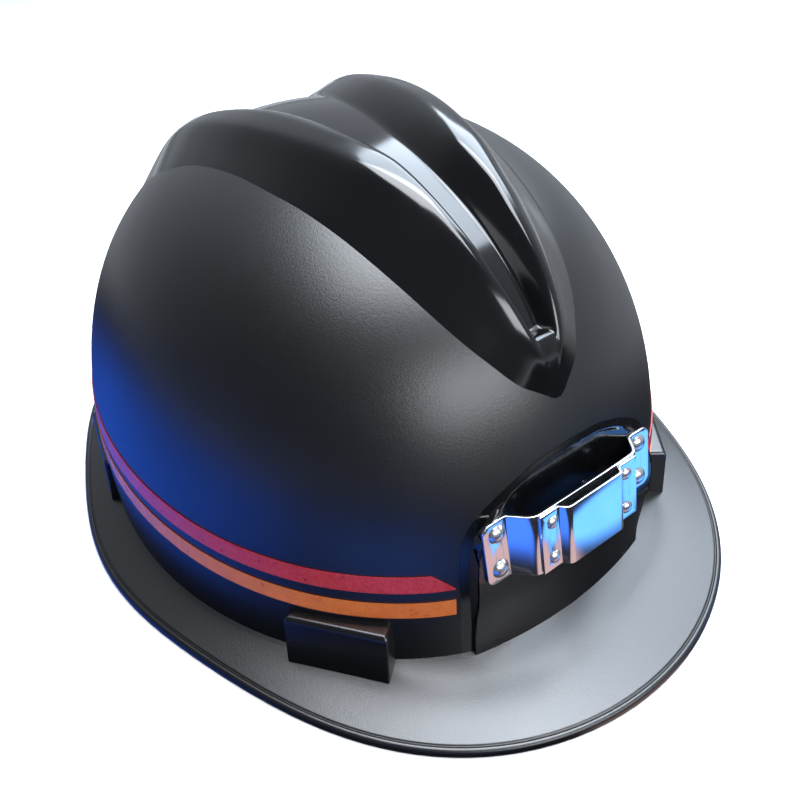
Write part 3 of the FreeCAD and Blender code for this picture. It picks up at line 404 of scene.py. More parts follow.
def shell_material():
    m, nt, b = new_mat("shell_black_plastic")
    v = coords(nt, 1.0)
    at = node(nt, "ShaderNodeAttribute")
    at.attribute_name = "gloss"
    g = at.outputs["Fac"]
    grain = noise(nt, v, 2600.0, 2.0, 0.6)
    grain2 = noise(nt, v, 1300.0, 2.0, 0.5)
    cloud = noise(nt, v, 14.0, 4.0, 0.6)
    wave = noise(nt, v, 60.0, 2.0, 0.4)
    h = math_n(nt, "ADD", math_n(nt, "MULTIPLY", grain, 0.6), math_n(nt, "MULTIPLY", grain2, 0.8))
    inv = math_n(nt, "SUBTRACT", 1.0, g)
    h = math_n(nt, "MULTIPLY", h, inv)
    n1 = bump(nt, None, h, 0.00008, 0.5)
    n2 = bump(nt, None, wave, 0.0003, 0.04, n1)
    nt.links.new(n2, b.inputs["Normal"])
    dust = noise(nt, v, 900.0, 1.0, 0.5)
    speck = maprange(nt, dust, 0.74, 0.80, 0.0, 0.10)
    base = ramp(nt, cloud, [(0.30, (0.0020, 0.0021, 0.0026)), (0.70, (0.0034, 0.0035, 0.0042))])
    col = mix_rgb(nt, speck, base, (0.10, 0.10, 0.11))
    nt.links.new(col, b.inputs["Base Color"])
    rm = maprange(nt, cloud, 0.2, 0.8, 0.33, 0.38)
    rg = maprange(nt, wave, 0.2, 0.8, 0.10, 0.17)
    nt.links.new(mix_f(nt, g, rm, rg), b.inputs["Roughness"])
    b.inputs["IOR"].default_value = 1.50
    b.inputs["Specular IOR Level"].default_value = 0.8
    return m


def inside_material():
    m, nt, b = new_mat("shell_inside_plastic")
    v = coords(nt, 1.0)
    f = noise(nt, v, 320.0, 3.0, 0.6)
    c = noise(nt, v, 20.0, 3.0, 0.5)
    nt.links.new(ramp(nt, c, [(0.3, (0.010, 0.010, 0.011)), (0.7, (0.016, 0.016, 0.017))]), b.inputs["Base Color"])
    nt.links.new(maprange(nt, c, 0.2, 0.8, 0.42, 0.55), b.inputs["Roughness"])
    bump(nt, b, f, 0.0002, 0.25)
    return m


def tape_material(name, lo, hi):
    m, nt, b = new_mat(name)
    v = coords(nt, 1.0)
    f = noise(nt, v, 220.0, 2.0, 0.5)
    cell = nt.nodes.new("ShaderNodeTexVoronoi")
    cell.inputs["Scale"].default_value = 900.0
    nt.links.new(v, cell.inputs["Vector"])
    c = ramp(nt, f, [(0.3, lo), (0.7, hi)])
    # painted sparkle: pale flecks at the Voronoi cell edges are mixed into the base colour; the same cells also give
    # the beaded bump
    c = mix_rgb(nt, maprange(nt, cell.outputs["Distance"], 0.0, 0.7, 0.0, 0.05), c, (0.9, 0.5, 0.45))
    nt.links.new(c, b.inputs["Base Color"])
    nt.links.new(maprange(nt, f, 0.2, 0.8, 0.26, 0.34), b.inputs["Roughness"])
    b.inputs["Metallic"].default_value = 0.25
    b.inputs["Coat Weight"].default_value = 0.15
    b.inputs["Coat Roughness"].default_value = 0.10
    b.inputs["Coat IOR"].default_value = 1.6
    bump(nt, b, cell.outputs["Distance"], 0.00008, 0.20)
    return m


def metal_material(name, lo, hi, r0, r1, scratch=(40, 40, 1400), bstr=0.06):
    m, nt, b = new_mat(name)
    v = coords(nt, 1.0)
    vs = coords(nt, scratch)
    f = noise(nt, v, 90.0, 3.0, 0.5)
    s = noise(nt, vs, 1.0, 3.0, 0.7)
    nt.links.new(ramp(nt, f, [(0.3, lo), (0.7, hi)]), b.inputs["Base Color"])
    nt.links.new(maprange(nt, math_n(nt, "ADD", math_n(nt, "MULTIPLY", f, 0.5), math_n(nt, "MULTIPLY", s, 0.5)), 0.3, 0.7, r0, r1), b.inputs["Roughness"])
    b.inputs["Metallic"].default_value = 1.0
    bump(nt, b, s, 0.00006, bstr)
    return m


def plastic_material(name, lo, hi, r0, r1, grain=600.0, bstr=0.15, spec=0.5):
    m, nt, b = new_mat(name)
    v = coords(nt, 1.0)
    f = noise(nt, v, 60.0, 3.0, 0.5)
    g = noise(nt, v, grain, 2.0, 0.5)
    nt.links.new(ramp(nt, f, [(0.3, lo), (0.7, hi)]), b.inputs["Base Color"])
    nt.links.new(maprange(nt, f, 0.2, 0.8, r0, r1), b.inputs["Roughness"])
    b.inputs["Specular IOR Level"].default_value = spec
    bump(nt, b, g, 0.0001, bstr)
    return m


def fabric_material(name, lo, hi, pitch=0.0009, sheen=0.3, axis="diag"):
    m, nt, b = new_mat(name)
    v = coords(nt, 1.0)
    w1 = node(nt, "ShaderNodeTexWave")
    w2 = node(nt, "ShaderNodeTexWave")
    w1.wave_type = w2.wave_type = "BANDS"
    w1.bands_direction = "DIAGONAL" if axis == "diag" else "X"
    w2.bands_direction = "Z"
    for w in (w1, w2):
        w.inputs["Scale"].default_value = 0.314 / pitch
        w.inputs["Distortion"].default_value = 0.6
        w.inputs["Detail"].default_value = 1.0
        nt.links.new(v, w.inputs["Vector"])
    weave = math_n(nt, "MULTIPLY", w1.outputs["Fac"], w2.outputs["Fac"])
    f = noise(nt, v, 1800.0, 2.0, 0.6)
    c = noise(nt, v, 30.0, 3.0, 0.5)
    mixv = math_n(nt, "ADD", math_n(nt, "MULTIPLY", weave, 0.7), math_n(nt, "MULTIPLY", f, 0.3))
    col = ramp(nt, mixv, [(0.1, lo), (0.8, hi)])
    col = mix_rgb(nt, maprange(nt, c, 0.3, 0.7, 0.0, 0.25), col, lo)
    nt.links.new(col, b.inputs["Base Color"])
    b.inputs["Roughness"].default_value = 0.9
    b.inputs["Sheen Weight"].default_value = sheen
    b.inputs["Sheen Roughness"].default_value = 0.5
    b.inputs["Specular IOR Level"].default_value = 0.2
    bump(nt, b, mixv, 0.0004, 0.7)
    return m


MAT = {
    "shell": shell_material(),
    "inside": inside_material(),
    "red": tape_material("tape_red_film", (0.34, 0.0010, 0.004), (0.40, 0.0018, 0.007)),
    "amber": tape_material("tape_amber_film", (0.50, 0.105, 0.006), (0.58, 0.13, 0.009)),
    "steel": metal_material("bright_steel_sheet", (0.78, 0.79, 0.82), (0.90, 0.90, 0.92), 0.07, 0.16),
    "rivet": metal_material("rivet_metal", (0.70, 0.70, 0.72), (0.84, 0.84, 0.85), 0.22, 0.34, (300, 300, 300), 0.1),
    "liner": plastic_material("liner_white_plastic", (0.52, 0.52, 0.50), (0.60, 0.60, 0.575), 0.38, 0.50, 500.0, 0.10),
    "ratchet": plastic_material("ratchet_black_plastic", (0.018, 0.018, 0.020), (0.028, 0.028, 0.030), 0.28, 0.42, 700.0, 0.15),
    "screw": metal_material("zinc_screw_steel", (0.45, 0.46, 0.48), (0.60, 0.60, 0.62), 0.25, 0.40, (200, 200, 200), 0.1),
    "webbing": fabric_material("webbing_weave", (0.018, 0.020, 0.024), (0.075, 0.080, 0.090), 0.0011, 0.35),
    "foam": fabric_material("pad_knit", (0.014, 0.014, 0.016), (0.050, 0.050, 0.056), 0.0007, 0.5),
    "thread": fabric_material("sewing_thread", (0.35, 0.35, 0.34), (0.70, 0.70, 0.68), 0.0003, 0.2),
    "thread_dark": fabric_material("sewing_thread_dark", (0.05, 0.05, 0.055), (0.16, 0.16, 0.17), 0.0003, 0.2),
}


def sweat_material():
    m, nt, b = new_mat("sweatband_leather")
    v = coords(nt, 1.0)
    vo = nt.nodes.new("ShaderNodeTexVoronoi")
    vo.inputs["Scale"].default_value = 700.0
    nt.links.new(v, vo.inputs["Vector"])
    f = noise(nt, v, 40.0, 4.0, 0.6)
    col = ramp(nt, f, [(0.3, (0.030, 0.020, 0.014)), (0.7, (0.060, 0.042, 0.030))])
    # painted shade: the punched vents are near-black spots in the base colour, standing in for the depth of the holes
    at = node(nt, "ShaderNodeAttribute")
    at.attribute_name = "vent_shade"
    col = mix_rgb(nt, at.outputs["Fac"], col, (0.002, 0.002, 0.002))
    nt.links.new(col, b.inputs["Base Color"])
    nt.links.new(maprange(nt, f, 0.2, 0.8, 0.45, 0.62), b.inputs["Roughness"])
    bump(nt, b, vo.outputs["Distance"], 0.0002, 0.35)
    return m


MAT["sweat"] = sweat_material()


# --------------------------------------------------------- outer shell skin
pile = Pile()

# dome, wall and front pad
d0 = np.concatenate([np.arange(-24, 24, 0.15), np.arange(24, 336, 1.0)])
TH = np.radians(d0)
zrow = np.concatenate([np.arange(5.2, 79.0, 0.32), 79.0 + (H_DOME + Z_FOOT - 79.0) * np.sin(np.linspace(0, math.pi / 2, 86)[1:]) ** 1.0])
zrow[-1] = H_DOME + Z_FOOT - 0.0005
Zg, Tg = np.meshgrid(zrow, TH, indexing="ij")
Rg = outer_r(Tg, Zg)
Xg, Yg = Rg * np.sin(Tg), -Rg * np.cos(Tg)
V = np.stack([Xg, Yg, Zg], -1)
# gloss mask: the pad, its ledge, and the crown inside the ribs
front = (np.abs(np.arctan2(np.sin(Tg), np.cos(Tg))) < math.radians(25)) & (Zg < 80)
sd = np.full(Zg.shape, 9.0)
sd[front] = pad_sd(Xg[front], Zg[front])
gl = smooth((3.2 - sd) / 0.9)
xb = pchip(Yg, RIB_Y, R_MID)
crown = (Zg > 60) & (Yg > -98.0) & (Yg < 92)
gl = np.maximum(gl, np.where(crown, smooth((xb + 2.2 - np.abs(Xg)) / 1.0) * smooth((88 - Yg) / 2.0), 0))
Fd = grid_faces(len(zrow), len(TH), True, False)
under = ((rib_at(Xg, Yg) > 0.9) & (Zg > 60)).ravel()
Fd = Fd[~under[Fd].all(1)]
pile.add(V.reshape(-1, 3), Fd, gl.ravel())

# ribs of the crown
ys = HY[(HY > -104.9) & (HY < 91.5)]
xs = np.concatenate([-HX[::-1][:-1], HX])
Xr, Yr = np.meshgrid(xs, ys, indexing="xy")
hr = rib_at(Xr, Yr)
Zr = dome_z(Xr, Yr) + hr
Vr = np.stack([Xr, Yr, Zr], -1).reshape(-1, 3)
Fr = grid_faces(len(ys), len(xs), False, True)
keep = hr.ravel()[Fr].max(1) > -0.35
Fr = Fr[keep]
used = np.unique(Fr)
remap = -np.ones(len(Vr), int)
remap[used] = np.arange(len(used))
pile.add(Vr[used], remap[Fr], 1.0)

# brim: top, raised lip and rim
tb = np.radians(np.arange(0, 360, 0.5))
k = smooth((np.cos(tb) - 0.80) / 0.14)
ri = base_r(tb) - 1.6
rc = base_r(tb) + 2.0 + 9.2 * k
zc = Z_FOOT - 0.9 - (Z_FOOT - 0.9 - ROOT_H) * k
re = brim_r(tb)
rows = []
fr_ = np.concatenate([np.linspace(0, 1, 14)])
for f in np.linspace(0, 0.80, 9):
    rows.append((ri + (rc - ri) * f, Z_FOOT + 0.4 + (zc - Z_FOOT - 0.4) * f))
mid = (re - 3.2)
sl = (BRIM_T - zc) / (re - rc)
for t in np.linspace(0.08, 1, 8):
    a = (ri + (rc - ri) * 0.80, Z_FOOT + 0.4 + (zc - Z_FOOT - 0.4) * 0.80)
    b_ = (rc, zc)
    c_ = (rc + 3.0, zc + sl * 3.0)
    rows.append(tuple((1 - t) ** 2 * a[i] + 2 * t * (1 - t) * b_[i] + t * t * c_[i] for i in (0, 1)))
for f in np.linspace(0, 1, 16)[1:]:
    r = (rc + 3.0) + (mid - rc - 3.0) * f
    rows.append((r, zc + sl * (r - rc)))
for q, dz in ((2.9, 0.0), (2.65, -0.05), (2.45, -0.28), (2.2, -0.30), (2.0, -0.08), (1.8, 0.14), (1.4, 0.20), (1.0, 0.17), (0.6, 0.02), (0.3, -0.22), (0.1, -0.55), (0.0, -0.95)):
    r = re - q
    rows.append((r, np.full_like(r, 0) + zc + sl * (r - rc) + dz))
rows.append((re, np.full_like(re, 0.75)))
rows.append((re - 0.05, np.full_like(re, 0.3)))
rows.append((re - 0.3, np.full_like(re, 0.0)))
Rb = np.array([r for r, z in rows])
Zb = np.array([z for r, z in rows])
Vb = np.stack([Rb * np.sin(tb), -Rb * np.cos(tb), Zb], -1)
pile.add(Vb.reshape(-1, 3), grid_faces(len(rows), len(tb), True, True), 0.12)

skin = make_obj("shell_skin", np.vstack(pile.V), pile.F, MAT["shell"], {"gloss": np.concatenate(pile.A)}, sharp=60)
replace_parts(skin, "shell")
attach(skin, "helmet")


# key blocks, with rounded edges
def block_frame(block):
    (x0, y0), (x1, y1) = block
    c = np.array(((x0 + x1) / 2, (y0 + y1) / 2))
    L = math.hypot(x1 - x0, y1 - y0)
    t = np.array(((x1 - x0) / L, (y1 - y0) / L))
    return c, t, np.array((t[1], -t[0])), L


def block_obj(name, block, side):
    c, t, n, L = block_frame(block)
    bm = bmesh.new()
    rings = []
    for z, ins, sh in ((4.0, 0.0, 0.0), (BLOCK_TOP - 1.2, 1.9, 0.3), (BLOCK_TOP, 3.1, 1.4)):
        ring = []
        for s_, d_ in ((-1, ins), (1, ins), (1, 11.5), (-1, 11.5)):
            p = c + t * s_ * (L / 2 - sh) - n * d_
            ring.append(bm.verts.new(((side * p[0]) * MM, (p[1] + SHIFT) * MM, z * MM)))
        rings.append(ring)
    for a, b in zip(rings[:-1], rings[1:]):
        for i in range(4):
            bm.faces.new((a[i], a[(i + 1) % 4], b[(i + 1) % 4], b[i]))
    bm.faces.new(rings[-1])
    bmesh.ops.recalc_face_normals(bm, faces=bm.faces)
    ed = [e for e in bm.edges if len(e.link_faces) == 2 and e.calc_face_angle() > 0.2]
    bmesh.ops.bevel(bm, geom=ed, offset=0.75 * MM, segments=4, profile=0.6, affect="EDGES", clamp_overlap=True)
    me = bpy.data.meshes.new(name)
    bm.to_mesh(me)
    bm.free()
    me.polygons.foreach_set("use_smooth", np.ones(len(me.polygons), bool))
    me.set_sharp_from_angle(angle=math.radians(35))
    a = me.attributes.new("gloss", "FLOAT", "POINT")
    a.data.foreach_set("value", np.full(len(me.vertices), 0.45, np.float32))
    me.materials.append(MAT["shell"])
    o = bpy.data.objects.new(name, me)
    bpy.context.scene.collection.objects.link(o)
    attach(o, "helmet")
    return o


for bn, blk in (("front", BLOCK_F), ("rear", BLOCK_R)):
    for sn, sg in (("left", 1), ("right", -1)):
        block_obj(f"shell_block_{bn}_{sn}", blk, sg)


# inside of the shell, key pockets and underside: the part's own faces
def inner_faces():
    me = NODES["shell"].data
    co = np.empty(len(me.vertices) * 3, np.float32)
    me.vertices.foreach_get("co", co)
    co = co.reshape(-1, 3).astype(float) / MM
    co[:, 1] -= SHIFT
    me.calc_loop_triangles()
    tri = np.empty(len(me.loop_triangles) * 3, np.int32)
    me.loop_triangles.foreach_get("vertices", tri)
    tri = tri.reshape(-1, 3)
    P = co[tri]
    c = P.mean(1)
    nn = np.cross(P[:, 1] - P[:, 0], P[:, 2] - P[:, 0])
    nn /= np.maximum(np.linalg.norm(nn, axis=1, keepdims=True), 1e-12)
    x, y, z = c.T
    th = np.arctan2(x, -y)
    r = np.hypot(x, y)
    ud = r - base_r(th) * u_at(z)
    dzp = z - (dome_z(x, y) + np.maximum(0, rib_at(x, y)))
    drop = (dzp > -1.3) | ((ud > -1.3) & (z < 95))
    # pad region
    t = y - pad_y(x, z)
    reg = (np.abs(x) < 41.5) & (z < 76) & (z > 7.2) & (y < -80)
    ins = pad_inside(x, z)
    drop = np.where(reg & ins, t < 1.2, drop)
    # brim
    br = (z < 8.6) & (r > base_r(th) - 1.75)
    dropb = (nn[:, 2] > 0.2) | ((np.abs(nn[:, 2]) < 0.3) & (r > brim_r(th) - 0.6))
    drop = np.where(br, dropb, drop)
    for blk in (BLOCK_F, BLOCK_R):
        bc, bt, bnn, L = block_frame(blk)
        ax = np.abs(x)
        s_ = (ax - bc[0]) * bt[0] + (y - bc[1]) * bt[1]
        d_ = -((ax - bc[0]) * bnn[0] + (y - bc[1]) * bnn[1])
        inb = (np.abs(s_) < L / 2 + 0.3) & (d_ > -0.4) & (d_ < 12.5) & (z < BLOCK_TOP + 0.4)
        pocket = (np.abs(s_) < L / 2 - 2.0) & (d_ > 2.4) & (z < BLOCK_TOP - 1.5)
        drop = np.where(inb & pocket & (np.abs(nn[:, 2]) < 1.1), False, np.where(inb & (z > 5.0) & (ud > -1.3), True, drop))
    F = tri[~drop]
    used = np.unique(F)
    rm = -np.ones(len(co), int)
    rm[used] = np.arange(len(used))
    return co[used], rm[F]


Vi, Fi = inner_faces()
inside = make_obj("shell_inside", Vi, Fi, MAT["inside"])
bm = bmesh.new()
bm.from_mesh(inside.data)
bmesh.ops.remove_doubles(bm, verts=bm.verts, dist=0.00001)
bm.to_mesh(inside.data)
bm.free()
inside.data.set_sharp_from_angle(angle=math.radians(30))
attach(inside, "helmet")


# -------------------------------------------------- carried-over CAD pieces
def smooth_group():
    g = bpy.data.node_groups.new("soften", "GeometryNodeTree")
    g.interface.new_socket("Geometry", in_out="INPUT", socket_type="NodeSocketGeometry")
    g.interface.new_socket("Geometry", in_out="OUTPUT", socket_type="NodeSocketGeometry")
    gi, go = g.nodes.new("NodeGroupInput"), g.nodes.new("NodeGroupOutput")
    s1 = g.nodes.new("GeometryNodeSetShadeSmooth")
    s1.domain = "FACE"
    s2 = g.nodes.new("GeometryNodeSetShadeSmooth")
    s2.domain = "EDGE"
    s2.inputs["Shade Smooth"].default_value = False
    ea = g.nodes.new("GeometryNodeInputMeshEdgeAngle")
    cmp_ = g.nodes.new("FunctionNodeCompare")
    cmp_.data_type = "FLOAT"
    cmp_.operation = "GREATER_THAN"
    cmp_.inputs[1].default_value = math.radians(33)
    g.links.new(gi.outputs[0], s1.inputs["Geometry"])
    g.links.new(s1.outputs[0], s2.inputs["Geometry"])
    g.links.new(ea.outputs["Unsigned Angle"], cmp_.inputs[0])
    g.links.new(cmp_.outputs[0], s2.inputs["Selection"])
    g.links.new(s2.outputs[0], go.inputs[0])
    return g


SOFTEN = smooth_group()


def dress(name, mat, bevel=0.0, seg=2):
    o = NODES[name]
    me = o.data
    if "custom_normal" in me.attributes:
        me.attributes.remove(me.attributes["custom_normal"])
    me.materials.clear()
    me.materials.append(MAT[mat])
    w = o.modifiers.new("weld", "WELD")
    w.merge_threshold = 0.000004
    if bevel:
        b = o.modifiers.new("bevel", "BEVEL")
        b.width = bevel * MM
        b.segments = seg
        b.limit_method = "ANGLE"
        b.angle_limit = math.radians(35)
        b.use_clamp_overlap = True
    s = o.modifiers.new("soften", "NODES")
    s.node_group = SOFTEN
    return o


for nm in ("stripe_red_left", "stripe_red_right"):
    dress(nm, "red")
for nm in ("stripe_amber_left", "stripe_amber_right"):
    dress(nm, "amber")
dress("lamp_strap", "steel", 0.18, 3)
dress("lamp_plate", "steel", 0.16, 3)
dress("strap_rivets", "rivet")
dress("plate_rivets", "rivet")
dress("rivet_washers", "rivet", 0.1)
dress("cable_clip", "steel", 0.15)
dress("clip_rivets", "rivet")
dress("clip_washers", "rivet", 0.1)
for nm in ("key_front_left", "key_front_right", "key_rear_left", "key_rear_right"):
    dress(nm, "liner", 0.3, 3)
dress("headband", "liner", 0.2, 2)
dress("headband_studs", "ratchet", 0.15)
for nm in ("tail_guide_left", "tail_guide_right"):
    dress(nm, "ratchet", 0.25, 2)
for nm in ("rack_tail_left", "rack_tail_right"):
    dress(nm, "liner", 0.12, 1)
dress("nape_housing", "ratchet", 0.3, 2)
dress("nape_cover", "ratchet", 0.3, 2)
dress("cover_screws", "screw")
dress("ratchet_pinion", "ratchet")
dress("ratchet_knob", "ratchet", 0.1, 1)
dress("detent_spring", "screw")
# ---------------------------------------------------------------- soft goods
def inner_gap(block):
    c, t, n, L = block_frame(block)
    d = 0.0
    while d < 20:
        x, y = c - n * d
        b = (B_FRONT if y < 0 else B_REAR) - WALL
        if math.hypot(x / (A_SIDE - WALL), y / b) <= 1:
            return d
        d += 0.05
    return d


def key_axis(block):
    c, t, n, L = block_frame(block)
    ci = c - n * inner_gap(block)
    return (lambda d: ci - n * d), t, n


FACE_D, FACE_T, WEB_W, WEB_T, WEB_Z0, CROSS_Y = 4.0, 2.2, 19.0, 1.2, 39.2, -2.0
AT_F, T_F, N_F = key_axis(BLOCK_F)
AT_R, T_R, N_R = key_axis(BLOCK_R)


def unit(v):
    v = np.asarray(v, float)
    return v / np.linalg.norm(v)


def lathe_stitch(pile, p, t, n, length=2.5, rad=0.26):
    # one stitch: a short thread lying on the surface, its ends dipping in
    t, n = unit(t), unit(n)
    w = np.cross(t, n)
    rows = []
    for k in range(7):
        f = k / 6
        s_ = (f - 0.5) * length
        lift = rad * 0.9 * math.sin(math.pi * f) ** 0.6 - rad * 0.55
        r = rad * (0.55 + 0.45 * math.sin(math.pi * f) ** 0.5)
        for j in range(6):
            a = 2 * math.pi * j / 6
            rows.append(p + t * s_ + n * (lift + r * math.sin(a)) + w * r * math.cos(a))
    F = [tuple(x) for x in grid_faces(7, 6, True)] + [tuple(range(5, -1, -1)), tuple(36 + i for i in range(6))]
    pile.add(np.array(rows), F, 0.0)


def strap_line(lift, n=64):
    f, r = AT_F(FACE_D + 1.7), AT_R(FACE_D + 1.7)
    xf, yf, xr, yr = f[0], f[1], -r[0], r[1]
    b = ((yf - CROSS_Y) / xf - (yr - CROSS_Y) / xr) / (xf - xr)
    a = (yf - CROSS_Y) / xf - b * xf
    i = np.arange(-n, n + 1)
    q = math.pi / 2 * np.abs(i) / n
    x = np.where(i > 0, xf, xr) * np.sin(q) ** (2 / 2.15)
    y = CROSS_Y + a * x + b * x * x
    z = WEB_Z0 + (CROWN_Z - WEB_Z0) * np.maximum(np.cos(q), 0) ** (2 / 2.1) + lift * smooth((34.0 - np.hypot(x, y - CROSS_Y)) / 18.0)
    return np.stack([x, y, z], -1)


def strap_obj(name, lift, side):
    P = strap_line(lift)
    T = np.gradient(P, axis=0)
    T /= np.linalg.norm(T, axis=1, keepdims=True)
    N = np.stack([P[:, 0] / 78.0 ** 2, (P[:, 1] + 2) / 98.0 ** 2, np.maximum(0, P[:, 2] - 34) / 84.0 ** 2], -1)
    N /= np.linalg.norm(N, axis=1, keepdims=True)
    # the ends turn to lie along their keys
    for e, nn in ((0, (-N_R[0], N_R[1], 0)), (-1, (N_F[0], N_F[1], 0))):
        dist = np.cumsum(np.r_[0, np.linalg.norm(np.diff(P if e == 0 else P[::-1], axis=0), axis=1)])
        if e == -1:
            dist = dist[::-1]
        w = smooth(1 - dist / 15.0)[:, None]
        N = N * (1 - w) + unit(nn) * w
    N /= np.linalg.norm(N, axis=1, keepdims=True)
    T[0], T[-1] = (0, 0, 1), (0, 0, -1)
    W = np.cross(T, N)
    W /= np.linalg.norm(W, axis=1, keepdims=True)
    M = np.cross(W, T)
    M *= np.sign((M * N).sum(1))[:, None]
    # section: rounded selvedges, a slightly thinner middle with woven ribs
    us = np.linspace(-1, 1, 39)
    top = WEB_T - 0.10 * (np.abs(us) < 0.86) + 0.05 * np.cos(us * 9 * math.pi) * (np.abs(us) < 0.86)
    top = np.where(np.abs(us) > 0.985, WEB_T * 0.72, top)
    bot = 0.10 * (np.abs(us) < 0.86) - 0.05 * np.cos(us * 9 * math.pi) * (np.abs(us) < 0.86) + 0.02
    bot = np.where(np.abs(us) > 0.985, WEB_T * 0.28, bot)
    sec = list(zip(us * WEB_W / 2, top)) + list(zip(us[::-1] * WEB_W / 2, bot[::-1]))
    rows = np.array([[P[i] + W[i] * a + M[i] * h for a, h in sec] for i in range(len(P))])
    pl = Pile()
    ns = len(sec)
    F = [tuple(x) for x in grid_faces(len(P), ns, True)]
    F += [tuple(range(ns - 1, -1, -1)), tuple((len(P) - 1) * ns + i for i in range(ns))]
    pl.add(rows.reshape(-1, 3), F, 0.0)
    # loops round the bars of the keys
    for at, t, n, sx in ((AT_F, T_F, N_F, 1), (AT_R, T_R, N_R, -1)):
        d0, d1, z0, z1, r = FACE_D - 1.25 + 0.5, FACE_D + FACE_T + 1.25 - 0.5, 34.4, 39.5, 1.1
        loop = []
        for cx, cz, a0 in ((d1 - r, z1 - r, 0), (d0 + r, z1 - r, 90), (d0 + r, z0 + r, 180), (d1 - r, z0 + r, 270)):
            for k_ in range(6):
                a = math.radians(a0 + 90 * k_ / 5)
                loop.append((cx + r * math.cos(a), cz + r * math.sin(a), math.cos(a), math.sin(a)))
        ring_ = []
        for d_, z_, nx, nz in loop:
            for s_, h in ((-1, 0.46), (1, 0.46), (1, -0.46), (-1, -0.46)):
                q = at(d_ + nx * h) + t * s_ * (WEB_W / 2 - 0.05)
                ring_.append((sx * q[0], q[1], z_ + nz * h))
        nl = len(loop)
        F = [(i * 4 + j, i * 4 + (j + 1) % 4, ((i + 1) % nl) * 4 + (j + 1) % 4, ((i + 1) % nl) * 4 + j) for i in range(nl) for j in range(4)]
        pl.add(np.array(ring_), F, 0.0)
    Vx = np.vstack(pl.V) * [side, 1, 1]
    o = make_obj(name, Vx, pl.F, MAT["webbing"], sharp=50)
    bm = bmesh.new()
    bm.from_mesh(o.data)
    bmesh.ops.recalc_face_normals(bm, faces=bm.faces)
    bm.to_mesh(o.data)
    bm.free()
    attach(o, "helmet")
    # box-and-cross stitching near both ends, on both faces
    st = Pile()
    for idx, sgn in ((0, 1), (len(P) - 1, -1)):
        dist = np.cumsum(np.r_[0, np.linalg.norm(np.diff(P if idx == 0 else P[::-1], axis=0), axis=1)])
        if idx:
            dist = dist[::-1]

        def on(u, s_, face):
            o_ = np.argsort(dist)
            f = lambda A_: np.array([np.interp(s_, dist[o_], A_[o_, c_]) for c_ in range(3)])
            p, w_, m_ = f(P), unit(f(W)), unit(f(M))
            return p + w_ * u + m_ * (WEB_T - 0.05 if face > 0 else 0.05), m_ * face
        segs = [((-7.4, 3.0), (7.4, 3.0)), ((-7.4, 17.0), (7.4, 17.0)), ((-7.4, 3.0), (-7.4, 17.0)), ((7.4, 3.0), (7.4, 17.0)),
                ((-7.4, 3.0), (7.4, 17.0)), ((-7.4, 17.0), (7.4, 3.0))]
        for (u0, s0), (u1, s1) in segs:
            L = math.hypot(u1 - u0, s1 - s0)
            cnt = int(L / 2.3)
            for face in (1, -1):
                for k_ in range(cnt):
                    f0, f1 = (k_ + 0.12) / cnt, (k_ + 0.88) / cnt
                    pa, na = on(u0 + (u1 - u0) * f0, s0 + (s1 - s0) * f0, face)
                    pb, nb = on(u0 + (u1 - u0) * f1, s0 + (s1 - s0) * f1, face)
                    lathe_stitch(st, (pa + pb) / 2, pb - pa, na + nb, np.linalg.norm(pb - pa), 0.22)
    so = make_obj(name + "_stitching", np.vstack(st.V) * [side, 1, 1], st.F, MAT["thread"], sharp=60)
    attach(so, "helmet")
    return o


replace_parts(strap_obj("crown_strap_upper_webbing", 1.9, 1), "crown_strap_upper")
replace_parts(strap_obj("crown_strap_lower_webbing", 0.0, -1), "crown_strap_lower")


